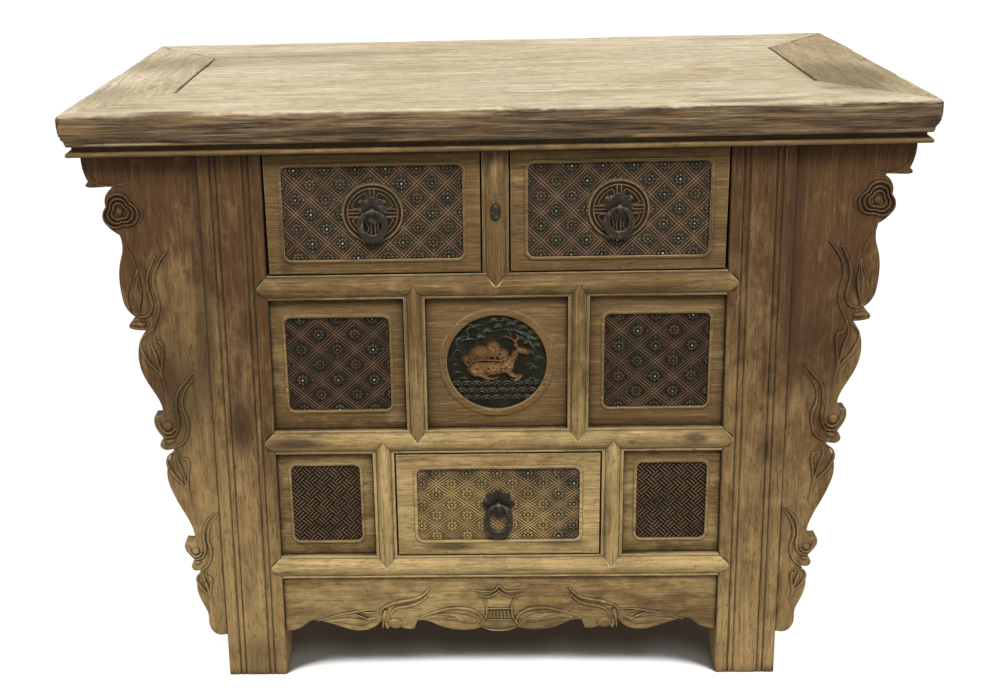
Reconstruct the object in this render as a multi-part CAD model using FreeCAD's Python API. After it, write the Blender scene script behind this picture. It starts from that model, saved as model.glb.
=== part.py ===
"""Low coffer-style cabinet for a kang: overhanging framed top with carved wing
brackets, two drawers over a row of fixed panels, and one drawer between two
more panels. Millimetres, +Z up, front towards -Y, origin on the floor at the
middle of the footprint."""
import FreeCAD, Part
import math
import os

V = FreeCAD.Vector
ORIGIN = V(0, 0, 0)

# Overall sizes
top_length = 1060.0
top_depth = 610.0
cabinet_height = 792.0
front_overhang = 30.0

# Framed top: mitred members round a floating panel
slab_thickness = 41.0
end_member_width = 116.0
long_member_width = 152.0
slab_arris = 7.0
slab_undercut = 7.0
slab_nose_drop = 9.0
slab_bead_height = 6.0
slab_bead_inset = 3.0
top_panel_thickness = 22.0
panel_tongue = 9.0
panel_tongue_thickness = 9.0
top_batten_width = 45.0
top_batten_pitch = 230.0
top_batten_count = 3

# Moulding under the top: a dark recess over a thin fillet
moulding_height = 13.0
fillet_height = 6.5
fillet_inset = 8.0
recess_inset = 15.0

# Legs, which splay a little towards the ends
leg_width = 80.0
leg_depth = 64.0
leg_splay = 8.0
leg_corner = 3.0
bead_offset = 20.0
bead_width = 7.0
bead_groove = 2.5
bead_depth = 2.0
leg_tenon_width = 30.0
leg_tenon_depth = 22.0
leg_tenon_height = 24.0

# Front rails and stiles: half-round faces with pointed ends; each stile stands at a
# share of the distance from the middle to the leg
rail_height = 32.5
rail_depth = 38.0
bar_bulge = 5.0
bar_quirk = 0.8
blunt_width = 5.0
rail_strip = 3.0
rail_run = 1.5
rail_point = 12.5
point_depth = 12.0
tenon_length = 30.0
tenon_thickness = 12.0
stile_tenon_length = 12.0
tenon_shoulder = 6.0
stile_strip = 4.0
centre_stile_width = 33.0
middle_stile_width = 27.0
middle_stile_share = 0.3624
lower_stile_width = 28.0
lower_stile_share = 0.5226

# Levels of the front; the bays share the height that the rails leave
lower_rail_bottom = 150.0
lower_bay_share = 0.3068
middle_bay_share = 0.367

# Fixed front panels
panel_thickness = 12.0
panel_setback = 8.0
panel_housing = 7.0
middle_field_side_margin = 15.8
middle_field_end_margin = 22.5
lower_field_side_margin = 14.6
lower_field_end_margin = 16.2
medallion_margin = 16.5
medallion_rim = 9.5
medallion_drop = 4.0

# Carved fields: a raised bead round a sunk ground
field_corner = 12.0
field_bead = 4.0
field_bead_rise = 1.5
field_depth = 3.0

# Sides, back, floor and shelf
side_rail_thickness = 24.0
side_rail_inset = 6.0
top_rail_height = 45.0
side_panel_thickness = 10.0
board_thickness = 12.0
board_housing = 7.0
side_apron_depth = 55.0
side_apron_thickness = 14.0
side_apron_arch = 26.0

# Front apron
apron_thickness = 16.0
apron_setback = 6.0
apron_housing = 6.0
apron_depth = 86.0

# Wing brackets
wing_inset = 20.0
wing_reach = 143.0
wing_foot = 62.0
wing_thickness = 22.0
wing_setback = 3.0
back_wing_setback = 14.0

# Drawers
drawer_gap = 2.2
running_gap = 0.5
drawer_front_thickness = 22.0
drawer_side_thickness = 10.0
drawer_back_thickness = 10.0
drawer_bottom_thickness = 7.0
drawer_bottom_lift = 5.0
drawer_groove = 5.0
drawer_side_drop = 8.0
drawer_side_inset = 1.2
drawer_back_gap = 8.0
dovetail_lap = 8.0
dovetail_count = 3
dovetail_flare = 4.0
upper_field_side_margin = 19.8
upper_field_end_margin = 16.5
drawer_field_side_margin = 25.0
drawer_field_end_margin = 19.2
roundel_margin = 24.5

# Runners and guides
runner_height = 20.0
runner_ledge = 26.0
guide_height = 20.0
guide_width = 20.0

# Iron pulls
plate_thickness = 1.6
upper_plate_diameter = 36.0
lower_plate_diameter = 42.0
petal_count = 8
petal_radius = 6.0
eye_radius = 7.0
eye_hole = 3.5
eye_width = 5.0
shank_size = 4.4
pin_arm_length = 13.0
pin_arm_thickness = 1.6
ring_thickness = 4.0
ring_top_width = 5.5
ring_bottom_width = 10.0
ring_edge = 1.1
ring_hole_width = 22.0
upper_ring_width = 39.5
upper_ring_height = 41.0
lower_ring_width = 37.5
lower_ring_height = 49.0
upper_pull_rise = 3.0
lower_pull_rise = 1.5

# Oval iron stud on the centre stile
stud_length = 20.0
stud_width = 12.0
stud_rise = 4.0
stud_edge = 2.4
nail_diameter = 3.0
nail_length = 14.0

# Overrun that cuts go past a face, and how closely arcs follow a drawn curve
overrun = 5.0
arc_fit = 0.4

# Levels and planes worked out from the sizes above
slab_bottom = cabinet_height - slab_thickness
moulding_bottom = slab_bottom - moulding_height
bays_height = moulding_bottom - lower_rail_bottom - 3 * rail_height
lower_rail_top = lower_rail_bottom + rail_height
middle_rail_bottom = lower_rail_top + lower_bay_share * bays_height
middle_rail_top = middle_rail_bottom + rail_height
upper_rail_bottom = middle_rail_top + middle_bay_share * bays_height
upper_rail_top = upper_rail_bottom + rail_height
leg_inner_top = top_length / 2 - wing_inset - wing_reach - leg_width
middle_stile_place = middle_stile_share * leg_inner_top
lower_stile_place = lower_stile_share * leg_inner_top
face_y = front_overhang - top_depth / 2
back_y = -face_y
rail_back_y = face_y + rail_depth
side_rail_outer = leg_inner_top + leg_width - side_rail_inset
side_rail_inner = side_rail_outer - side_rail_thickness
side_mid = (side_rail_outer + side_rail_inner) / 2
back_rail_outer = back_y - side_rail_inset - side_rail_inset
back_rail_inner = back_rail_outer - side_rail_thickness
back_mid = (back_rail_outer + back_rail_inner) / 2
leg_back_y = face_y + leg_depth
wing_top = moulding_bottom


def leg_inner(z):
    """Distance of a leg's inner face from the middle at a height."""
    return leg_inner_top + leg_splay * (slab_bottom - z) / slab_bottom


def leg_outer(z):
    """Distance of a leg's outer face from the middle at a height."""
    return leg_inner(z) + leg_width


class Outline:
    """A flat closed outline drawn edge by edge."""

    def __init__(self, start):
        self.start = start
        self.here = start
        self.edges = []

    def line(self, *points):
        for point in points:
            self.edges.append(Part.makeLine(self.here, point))
            self.here = point
        return self

    def arc(self, middle, end):
        self.edges.append(Part.Arc(self.here, middle, end).toShape())
        self.here = end
        return self

    def curve(self, points):
        """A smooth run through points, kept as a chain of arcs."""
        curve = Part.BSplineCurve()
        curve.interpolate([self.here] + points)
        self.edges += [piece.toShape() for piece in curve.toBiArcs(arc_fit)]
        self.here = points[-1]
        return self

    def face(self):
        if self.here.distanceToPoint(self.start) > Part.Precision.confusion():
            self.line(self.start)
        return Part.Face(Part.Wire(self.edges))


def box(x0, x1, y0, y1, z0, z1):
    """A block between two corners."""
    return Part.makeBox(x1 - x0, y1 - y0, z1 - z0, V(x0, y0, z0))


def mirror_x(shape):
    return shape.mirror(ORIGIN, V(1, 0, 0))


def mirror_y(shape):
    return shape.mirror(ORIGIN, V(0, 1, 0))


def cut_all(shape, tools):
    """A solid with each tool taken away."""
    for tool in tools:
        shape = shape.cut(tool)
    return shape


def fuse_all(shapes):
    """Touching solids as one clean solid."""
    whole = shapes[0].multiFuse(shapes[1:])
    return whole.removeSplitter()


def prism(points, direction):
    """A straight-sided block on a closed outline of points."""
    start = points[0]
    return Outline(start).line(*points[1:]).face().extrude(direction)


def rounded_plate(centre_x, centre_z, width, height, corner, y0, y1):
    """A plate in the XZ plane with round corners."""
    left, right = centre_x - width / 2, centre_x + width / 2
    low, high = centre_z - height / 2, centre_z + height / 2
    bend = corner - corner * math.sqrt(0.5)
    outline = Outline(V(left + corner, y0, low))
    outline.line(V(right - corner, y0, low))
    outline.arc(V(right - bend, y0, low + bend), V(right, y0, low + corner))
    outline.line(V(right, y0, high - corner))
    outline.arc(V(right - bend, y0, high - bend), V(right - corner, y0, high))
    outline.line(V(left + corner, y0, high))
    outline.arc(V(left + bend, y0, high - bend), V(left, y0, high - corner))
    outline.line(V(left, y0, low + corner))
    outline.arc(V(left + bend, y0, low + bend), V(left + corner, y0, low))
    return outline.face().extrude(V(0, y1 - y0, 0))


def disc(centre_x, centre_z, radius, y0, y1):
    """A round plate that faces the front."""
    return Part.makeCylinder(radius, y1 - y0, V(centre_x, y0, centre_z), V(0, 1, 0))


# Framed top

def slab_section(half_width):
    """Edge profile of the top, drawn right across, in width and height."""
    nose = cabinet_height - slab_nose_drop
    bead_top = slab_bottom + slab_bead_height
    bead_mid = slab_bottom + slab_bead_height / 2
    under = half_width - slab_undercut
    outline = Outline(V(-half_width + slab_arris, 0, cabinet_height))
    outline.line(V(half_width - slab_arris, 0, cabinet_height))
    soft = slab_arris * (1 - math.sqrt(0.5))
    drop = slab_nose_drop * (1 - math.sqrt(0.5))
    outline.arc(V(half_width - soft, 0, cabinet_height - drop), V(half_width, 0, nose))
    outline.arc(V(half_width - slab_undercut / 4, 0, (nose + bead_top) / 2), V(under, 0, bead_top))
    outline.line(V(under - slab_bead_inset, 0, bead_top))
    outline.arc(V(under, 0, bead_mid), V(under - slab_bead_inset, 0, slab_bottom))
    outline.line(V(-under + slab_bead_inset, 0, slab_bottom))
    outline.arc(V(-under, 0, bead_mid), V(-under + slab_bead_inset, 0, bead_top))
    outline.line(V(-under, 0, bead_top))
    outline.arc(V(-half_width + slab_undercut / 4, 0, (nose + bead_top) / 2), V(-half_width, 0, nose))
    outline.arc(V(-half_width + soft, 0, cabinet_height - drop),
                V(-half_width + slab_arris, 0, cabinet_height))
    return outline.face()


def moulding_section(half_width):
    """Fillet and recess of the moulding, drawn right across."""
    fillet = half_width - fillet_inset
    recess = half_width - recess_inset
    fillet_top = moulding_bottom + fillet_height
    outline = Outline(V(-recess, 0, slab_bottom))
    outline.line(V(recess, 0, slab_bottom), V(recess, 0, fillet_top))
    outline.line(V(fillet - fillet_height / 2, 0, fillet_top))
    outline.arc(V(fillet, 0, moulding_bottom + fillet_height / 2),
                V(fillet - fillet_height / 2, 0, moulding_bottom))
    outline.line(V(-fillet + fillet_height / 2, 0, moulding_bottom))
    outline.arc(V(-fillet, 0, moulding_bottom + fillet_height / 2),
                V(-fillet + fillet_height / 2, 0, fillet_top))
    outline.line(V(-recess, 0, fillet_top))
    return outline.face()


def mitred_block(section):
    """The same edge profile carried round all four sides."""
    along_y = section(top_length / 2)
    along_y.translate(V(0, -top_depth / 2 - overrun, 0))
    along_y = along_y.extrude(V(0, top_depth + overrun + overrun, 0))
    along_x = section(top_depth / 2)
    along_x.rotate(ORIGIN, V(0, 0, 1), 90)
    along_x.translate(V(-top_length / 2 - overrun, 0, 0))
    along_x = along_x.extrude(V(top_length + overrun + overrun, 0, 0))
    return along_y.common(along_x)


def mitre_wedges(end_width, long_width, z0, z1):
    """Plan shapes of the mitred front and right members."""
    x_out, y_out = top_length / 2, top_depth / 2
    x_in, y_in = x_out - end_width, y_out - long_width
    rise = V(0, 0, z1 - z0)
    front = prism([V(-x_out, -y_out, z0), V(x_out, -y_out, z0),
                   V(x_in, -y_in, z0), V(-x_in, -y_in, z0)], rise)
    right = prism([V(x_out, -y_out, z0), V(x_out, y_out, z0),
                   V(x_in, y_in, z0), V(x_in, -y_in, z0)], rise)
    return front, right


def make_top():
    """Members, floating panel and battens of the framed top."""
    slab = mitred_block(slab_section)
    wedges = mitre_wedges(end_member_width, long_member_width, slab_bottom, cabinet_height)
    front, right = [slab.common(wedge) for wedge in wedges]
    x_in = top_length / 2 - end_member_width
    y_in = top_depth / 2 - long_member_width
    panel_bottom = cabinet_height - top_panel_thickness
    tongue_top = panel_bottom + panel_tongue_thickness
    panel = fuse_all([
        box(-x_in, x_in, -y_in, y_in, panel_bottom, cabinet_height),
        box(-x_in - panel_tongue, x_in + panel_tongue, -y_in - panel_tongue,
            y_in + panel_tongue, panel_bottom, tongue_top)])
    battens = []
    for index in range(top_batten_count):
        x = (index - (top_batten_count - 1) / 2) * top_batten_pitch
        battens.append(box(x - top_batten_width / 2, x + top_batten_width / 2,
                           -y_in - panel_tongue, y_in + panel_tongue, slab_bottom, panel_bottom))
    tools = [panel] + battens + [leg_tenon(side, 1) for side in (1, -1)]
    front = cut_all(front, tools)
    right = right.cut(panel)
    return {
        "top_front_rail": front,
        "top_back_rail": mirror_y(front),
        "top_left_end": mirror_x(right),
        "top_right_end": right,
        "top_panel": panel,
        "top_battens": Part.makeCompound(battens),
    }


def make_moulding():
    """Recess and fillet strip round the underside of the top."""
    inner_x = top_length / 2 - front_overhang
    ring = mitred_block(moulding_section)
    ring = ring.cut(box(-inner_x, inner_x, face_y, back_y,
                        moulding_bottom - overrun, slab_bottom + overrun))
    wedges = mitre_wedges(front_overhang, front_overhang, moulding_bottom, slab_bottom)
    front, right = [ring.common(wedge) for wedge in wedges]
    return {"under_moulding": Part.makeCompound([front, mirror_y(front), right, mirror_x(right)])}


# Legs

def leg_section(moulded):
    """Cross-section of the front right leg at the slab, beads on its front."""
    x0, x1 = leg_inner_top, leg_inner_top + leg_width
    y0, y1 = face_y, face_y + leg_depth
    bend = leg_corner * (1 - math.sqrt(0.5))
    outline = Outline(V(x0 + leg_corner, y0, slab_bottom))
    if moulded:
        for middle in (x0 + bead_offset, x1 - bead_offset):
            half = bead_width / 2
            outline.line(V(middle - half - bead_groove, y0, slab_bottom))
            outline.line(V(middle - half, y0 + bead_depth, slab_bottom))
            outline.arc(V(middle, y0, slab_bottom), V(middle + half, y0 + bead_depth, slab_bottom))
            outline.line(V(middle + half + bead_groove, y0, slab_bottom))
    outline.line(V(x1 - leg_corner, y0, slab_bottom))
    outline.arc(V(x1 - bend, y0 + bend, slab_bottom), V(x1, y0 + leg_corner, slab_bottom))
    outline.line(V(x1, y1 - leg_corner, slab_bottom))
    outline.arc(V(x1 - bend, y1 - bend, slab_bottom), V(x1 - leg_corner, y1, slab_bottom))
    outline.line(V(x0 + leg_corner, y1, slab_bottom))
    outline.arc(V(x0 + bend, y1 - bend, slab_bottom), V(x0, y1 - leg_corner, slab_bottom))
    outline.line(V(x0, y0 + leg_corner, slab_bottom))
    outline.arc(V(x0 + bend, y0 + bend, slab_bottom), V(x0 + leg_corner, y0, slab_bottom))
    return outline.face()


def leg_tenon(side, end):
    """Tenon on a leg's top; side is 1 for right, end is 1 for front."""
    x = leg_inner_top + leg_width / 2
    y = face_y + leg_depth / 2
    tenon = box(x - leg_tenon_width / 2, x + leg_tenon_width / 2,
                y - leg_tenon_depth / 2, y + leg_tenon_depth / 2,
                slab_bottom, slab_bottom + leg_tenon_height)
    if side < 0:
        tenon = mirror_x(tenon)
    if end < 0:
        tenon = mirror_y(tenon)
    return tenon


def raw_leg(side, end):
    """A leg before anything is let into it, leaning out towards its foot."""
    leg = leg_section(moulded=end > 0)
    leg.translate(V(0, 0, overrun))
    leg = leg.extrude(V(0, 0, -slab_bottom - overrun - overrun))
    lean = math.degrees(math.atan2(leg_splay, slab_bottom))
    leg.rotate(V(leg_inner_top, 0, slab_bottom), V(0, 1, 0), -lean)
    leg = leg.common(box(0, top_length / 2, face_y - overrun, 0, 0, slab_bottom))
    if side < 0:
        leg = mirror_x(leg)
    if end < 0:
        leg = mirror_y(leg)
    return fuse_all([leg, leg_tenon(side, end)])


# Half-round bars with pointed ends

def pointed_bar(length, width, strip, run, point, tenon, end_point=True):
    """A bar from its shoulder at x = 0 to x = length, its face at y = 0. A
    half-round stands between two flat strips, and at the ends it runs out
    over the neighbours and closes to a blunt point."""
    half = width / 2
    core = half - strip
    end = length + point if end_point else length
    section = Outline(V(-point, 0, -half))
    section.line(V(-point, 0, -core), V(-point, bar_quirk, -core))
    section.arc(V(-point, -bar_bulge, 0), V(-point, bar_quirk, core))
    section.line(V(-point, 0, core), V(-point, 0, half))
    section.line(V(-point, point_depth, half), V(-point, point_depth, -half))
    front = section.face().extrude(V(end + point, 0, 0))
    corners = [V(0, 0, core), V(0, 0, half), V(length, 0, half)]
    if end_point:
        corners += [V(length, 0, core), V(length + run, 0, core), V(end, 0, blunt_width / 2),
                    V(end, 0, -blunt_width / 2), V(length + run, 0, -core), V(length, 0, -core)]
    corners += [V(length, 0, -half), V(0, 0, -half), V(0, 0, -core), V(-run, 0, -core),
                V(-point, 0, -blunt_width / 2), V(-point, 0, blunt_width / 2), V(-run, 0, core)]
    mask = prism(corners, V(0, point_depth + bar_bulge + overrun, 0))
    mask.translate(V(0, -bar_bulge - overrun, 0))
    body = box(0, length, point_depth, rail_depth, -half, half)
    middle = (point_depth + rail_depth) / 2
    peg = half - tenon_shoulder
    tongue = box(-tenon, length + tenon, middle - tenon_thickness / 2,
                 middle + tenon_thickness / 2, -peg, peg)
    return fuse_all([front.common(mask), body, tongue])


def front_rail(z_bottom):
    """A front rail between the legs at a level."""
    z = z_bottom + rail_height / 2
    half = leg_inner(z)
    rail = pointed_bar(half + half, rail_height, rail_strip, rail_run, rail_point, tenon_length)
    rail.translate(V(-half, face_y, z))
    return rail


def front_stile(x, z0, z1, width, top_point=True):
    """A stile between two levels, its points reaching the rails' middles."""
    stile = pointed_bar(z1 - z0, width, stile_strip, rail_strip, rail_height / 2,
                        stile_tenon_length, end_point=top_point)
    stile.rotate(ORIGIN, V(0, 1, 0), -90)
    stile.translate(V(x, face_y, z0))
    return stile


# Carved boards

def carve_field(board, x0, x1, z0, z1, side_margin, end_margin, y):
    """A sunk ground with a raised bead round it, inside the margins of a
    face at y."""
    x, z = (x0 + x1) / 2, (z0 + z1) / 2
    width = x1 - x0 - side_margin - side_margin
    height = z1 - z0 - end_margin - end_margin
    outer = rounded_plate(x, z, width, height, field_corner, y - field_bead_rise, y + field_depth)
    inner = rounded_plate(x, z, width - field_bead - field_bead, height - field_bead - field_bead,
                          field_corner - field_bead, y - field_bead_rise - overrun, y + field_depth)
    return board.fuse(outer.cut(inner)).cut(inner).removeSplitter()


def fixed_panel(x0, x1, z0, z1):
    """A board let into the frame on all four sides."""
    y0 = face_y + panel_setback
    return box(x0 - panel_housing, x1 + panel_housing, y0, y0 + panel_thickness,
               z0 - panel_housing, z1 + panel_housing)


def make_panels():
    """The five fixed panels of the front."""
    y = face_y + panel_setback
    middle_z = (middle_rail_top + upper_rail_bottom) / 2
    panels = {}
    inner = middle_stile_place + middle_stile_width / 2
    outer = leg_inner(middle_z)
    right = fixed_panel(inner, outer, middle_rail_top, upper_rail_bottom)
    right = carve_field(right, inner, outer, middle_rail_top, upper_rail_bottom,
                        middle_field_side_margin, middle_field_end_margin, y)
    panels["middle_right_panel"] = right
    panels["middle_left_panel"] = mirror_x(right)
    inner = lower_stile_place + lower_stile_width / 2
    outer = leg_inner((lower_rail_top + middle_rail_bottom) / 2)
    right = fixed_panel(inner, outer, lower_rail_top, middle_rail_bottom)
    right = carve_field(right, inner, outer, lower_rail_top, middle_rail_bottom,
                        lower_field_side_margin, lower_field_end_margin, y)
    panels["lower_right_panel"] = right
    panels["lower_left_panel"] = mirror_x(right)
    half = middle_stile_place - middle_stile_width / 2
    radius = (upper_rail_bottom - middle_rail_top) / 2 - medallion_margin
    board = fixed_panel(-half, half, middle_rail_top, upper_rail_bottom)
    rim = disc(0, middle_z, radius, y - field_bead_rise, y + medallion_drop)
    ground = disc(0, middle_z, radius - medallion_rim, y - overrun, y + medallion_drop)
    panels["medallion_panel"] = board.fuse(rim).cut(ground).removeSplitter()
    return panels


# Outline shares of a wing: across from the leg, and up from the foot
wing_edge_shares = [
    [(0.070, 0.000), (0.175, 0.004), (0.217, 0.020), (0.224, 0.049), (0.273, 0.075),
     (0.308, 0.105), (0.301, 0.126), (0.238, 0.148)],
    [(0.238, 0.148), (0.336, 0.150), (0.308, 0.170)],
    [(0.308, 0.170), (0.360, 0.183), (0.392, 0.199), (0.385, 0.209)],
    [(0.385, 0.209), (0.297, 0.213), (0.294, 0.233), (0.378, 0.279), (0.462, 0.321),
     (0.497, 0.354), (0.476, 0.385), (0.399, 0.413)],
    [(0.399, 0.413), (0.531, 0.417), (0.503, 0.437)],
    [(0.503, 0.437), (0.552, 0.453), (0.573, 0.470), (0.566, 0.482)],
    [(0.566, 0.482), (0.490, 0.488), (0.490, 0.503), (0.552, 0.533), (0.636, 0.570),
     (0.664, 0.602), (0.650, 0.626), (0.573, 0.658)],
    [(0.573, 0.658), (0.720, 0.667), (0.640, 0.684)],
    [(0.640, 0.684), (0.727, 0.703), (0.762, 0.737), (0.762, 0.775), (0.715, 0.834),
     (0.727, 0.846)],
    [(0.727, 0.846), (0.797, 0.857), (0.860, 0.880), (0.821, 0.897)],
    [(0.821, 0.897), (0.832, 0.914), (0.769, 0.934)],
    [(0.769, 0.934), (0.930, 0.937), (0.985, 0.940), (0.958, 0.948)],
    [(0.958, 0.948), (0.984, 0.962), (1.000, 1.000)],
]


def make_wing(setback):
    """A wing bracket between the right leg and the end of the top."""
    y = face_y + setback

    def at(share):
        x = leg_outer(slab_bottom) + share[0] * wing_reach
        return V(x, y, wing_foot + share[1] * (wing_top - wing_foot))

    outline = Outline(V(leg_outer(wing_foot), y, wing_foot))
    outline.line(at(wing_edge_shares[0][0]))
    for run in wing_edge_shares:
        outline.curve([at(share) for share in run[1:]])
    inside_moulding = top_length / 2 - front_overhang
    outline.line(V(inside_moulding, y, wing_top), V(inside_moulding, y, slab_bottom))
    outline.line(V(leg_outer(slab_bottom), y, slab_bottom))
    return outline.face().extrude(V(0, wing_thickness, 0))


# Lower edge shares of half the front apron: across, and up from its lowest line
apron_edge_shares = [
    [(1.000, 0.017), (0.966, 0.030), (0.925, 0.080), (0.873, 0.205), (0.832, 0.190),
     (0.736, 0.080), (0.651, 0.012), (0.599, 0.050), (0.548, 0.210)],
    [(0.548, 0.210), (0.536, 0.120), (0.524, 0.040), (0.513, 0.120), (0.509, 0.235)],
    [(0.509, 0.235), (0.489, 0.160), (0.465, 0.085), (0.425, 0.037), (0.398, 0.040)],
    [(0.398, 0.040), (0.390, 0.110), (0.384, 0.185)],
    [(0.384, 0.185), (0.346, 0.186), (0.281, 0.095), (0.188, 0.015), (0.116, 0.030),
     (0.082, 0.064)],
    [(0.082, 0.064), (0.045, 0.015), (0.000, 0.000)],
]


def make_apron():
    """Shaped board under the lower rail."""
    y = face_y + apron_setback
    half = leg_inner(lower_rail_bottom)
    low = lower_rail_bottom - apron_depth
    top = lower_rail_bottom + apron_housing

    def at(share, side):
        return V(side * share[0] * half, y, low + share[1] * apron_depth)

    outline = Outline(V(-half, y, top))
    outline.line(at(apron_edge_shares[0][0], -1))
    for run in apron_edge_shares:
        outline.curve([at(share, -1) for share in run[1:]])
    for run in reversed(apron_edge_shares):
        outline.curve([at(share, 1) for share in reversed(run[:-1])])
    outline.line(V(half, y, top))
    return outline.face().extrude(V(0, apron_thickness, 0))


def side_apron():
    """Plain arched board under the right side's lower rail."""
    x = side_mid - side_apron_thickness / 2
    y0, y1 = leg_back_y, -leg_back_y
    top = lower_rail_bottom
    low = top - side_apron_depth
    outline = Outline(V(x, y0, top))
    outline.line(V(x, y0, low))
    outline.curve([V(x, y0 / 2, low + side_apron_arch / 2), V(x, 0, low + side_apron_arch),
                   V(x, y1 / 2, low + side_apron_arch / 2), V(x, y1, low)])
    outline.line(V(x, y1, top))
    return outline.face().extrude(V(side_apron_thickness, 0, 0))


# Sides, back, floor and shelf

def side_rails():
    """Three rails of the right side, tenoned into its legs."""
    rails = []
    for z0, z1 in ((lower_rail_bottom, lower_rail_top), (middle_rail_bottom, middle_rail_top),
                   (slab_bottom - top_rail_height, slab_bottom)):
        rail = box(side_rail_inner, side_rail_outer, leg_back_y, -leg_back_y, z0, z1)
        tenon = box(side_mid - tenon_thickness / 2, side_mid + tenon_thickness / 2,
                    leg_back_y - tenon_length, tenon_length - leg_back_y,
                    z0 + tenon_shoulder, z1 - tenon_shoulder)
        rails.append(fuse_all([rail, tenon]))
    return rails


def side_panels():
    """Two boards of the right side, let into its rails and legs."""
    x0, x1 = side_mid - side_panel_thickness / 2, side_mid + side_panel_thickness / 2
    y0, y1 = leg_back_y - board_housing, board_housing - leg_back_y
    return [box(x0, x1, y0, y1, z0 - board_housing, z1 + board_housing)
            for z0, z1 in ((lower_rail_top, middle_rail_bottom),
                           (middle_rail_top, slab_bottom - top_rail_height))]


def back_rails():
    """Four rails between the back legs."""
    rails = []
    for z0, z1 in ((lower_rail_bottom, lower_rail_top), (middle_rail_bottom, middle_rail_top),
                   (upper_rail_bottom, upper_rail_top),
                   (slab_bottom - top_rail_height, slab_bottom)):
        half = leg_inner((z0 + z1) / 2)
        rail = box(-half, half, back_rail_inner, back_rail_outer, z0, z1)
        tenon = box(-half - tenon_length, half + tenon_length, back_mid - tenon_thickness / 2,
                    back_mid + tenon_thickness / 2, z0 + tenon_shoulder, z1 - tenon_shoulder)
        rails.append(fuse_all([rail, tenon]))
    return rails


def back_panels():
    """Three boards of the back, let into its rails and legs."""
    y0, y1 = back_mid - side_panel_thickness / 2, back_mid + side_panel_thickness / 2
    boards = []
    for z0, z1 in ((lower_rail_top, middle_rail_bottom), (middle_rail_top, upper_rail_bottom),
                   (upper_rail_top, slab_bottom - top_rail_height)):
        half = leg_inner((z0 + z1) / 2) + board_housing
        boards.append(box(-half, half, y0, y1, z0 - board_housing, z1 + board_housing))
    return boards


def level_board(z_top, legs):
    """A floor or shelf let into the rails all round, notched round the legs."""
    half = side_rail_inner + board_housing
    board = box(-half, half, rail_back_y - board_housing, back_rail_inner + board_housing,
                z_top - board_thickness, z_top)
    return cut_all(board, legs)


# Drawers and their runners

def dovetailed_side(x0, x1, z0, z1, tails_z0, y_back):
    """A drawer side with tails above the bottom that lap into the front's back."""
    shoulder = face_y + drawer_front_thickness
    tip = face_y + dovetail_lap
    parts = [box(x0, x1, shoulder, y_back, z0, z1)]
    pitch = (z1 - tails_z0) / dovetail_count
    for index in range(dovetail_count):
        z = tails_z0 + pitch * (index + 0.5)
        root = pitch / 4
        end = root + dovetail_flare
        parts.append(prism([V(x0, shoulder, z - root), V(x0, shoulder, z + root),
                            V(x0, tip, z + end), V(x0, tip, z - end)], V(x1 - x0, 0, 0)))
    return fuse_all(parts)


def make_drawer(name, x0, x1, z0, z1, side_margin, end_margin, roundel, pull):
    """One drawer with its pull, closed, in an opening of the front."""
    front_x0, front_x1 = x0 + drawer_gap, x1 - drawer_gap
    front_z0, front_z1 = z0 + drawer_gap, z1 - drawer_gap
    x_mid, z_mid = (x0 + x1) / 2, (z0 + z1) / 2
    y_shoulder = face_y + drawer_front_thickness
    y_back = back_rail_inner - drawer_back_gap
    side_x0, side_x1 = front_x0 + drawer_side_inset, front_x1 - drawer_side_inset
    run_z = z0 + running_gap
    side_top = front_z1 - drawer_side_drop
    bottom_z0 = run_z + drawer_bottom_lift
    bottom_z1 = bottom_z0 + drawer_bottom_thickness
    inner_x0, inner_x1 = side_x0 + drawer_side_thickness, side_x1 - drawer_side_thickness
    left = dovetailed_side(side_x0, inner_x0, run_z, side_top, bottom_z1, y_back)
    right = dovetailed_side(inner_x1, side_x1, run_z, side_top, bottom_z1, y_back)
    bottom = box(inner_x0 - drawer_groove, inner_x1 + drawer_groove,
                 y_shoulder - drawer_groove, y_back, bottom_z0, bottom_z1)
    back = box(inner_x0, inner_x1, y_back - drawer_back_thickness, y_back,
               bottom_z1, side_top - drawer_side_drop)
    front = box(front_x0, front_x1, face_y, y_shoulder, front_z0, front_z1)
    front = carve_field(front, x0, x1, z0, z1, side_margin, end_margin, face_y)
    if roundel:
        radius = (z1 - z0) / 2 - end_margin - roundel_margin
        front = front.fuse(disc(x_mid, z_mid, radius, face_y, y_shoulder)).removeSplitter()
    pull_z = z_mid + pull["rise"]
    plate, post, ring = make_pull(x_mid, pull_z, pull)
    front = cut_all(front, [left, right, bottom, post])
    return {
        name + "_drawer_front": front,
        name + "_drawer_sides": Part.makeCompound([left.cut(bottom), right.cut(bottom)]),
        name + "_drawer_back": back,
        name + "_drawer_bottom": bottom,
        name + "_pull_plate": plate,
        name + "_pull_post": post,
        name + "_pull_ring": ring,
    }


def upper_runners():
    """Left, centre and right runners under the upper drawers."""
    y0, y1 = rail_back_y, back_rail_inner
    z0, z1 = upper_rail_top - runner_height, upper_rail_top
    half = centre_stile_width / 2
    centre = fuse_all([
        box(-half - runner_ledge, half + runner_ledge, y0, y1, z0, z1),
        box(-half, half, y0, y1, z1, z1 + guide_height)])
    inner = leg_inner(upper_rail_top)
    right = fuse_all([
        box(inner - runner_ledge, side_rail_inner, y0, y1, z0, z1),
        box(inner, side_rail_inner, y0, y1, z1, z1 + guide_height)])
    return [centre, right, mirror_x(right)]


def lower_guides():
    """Guides on the floor, one each side of the lower drawer."""
    x = lower_stile_place - lower_stile_width / 2
    right = box(x, x + guide_width, rail_back_y, back_rail_inner,
                lower_rail_top, lower_rail_top + guide_height)
    return [right, mirror_x(right)]


# Iron pulls

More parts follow.
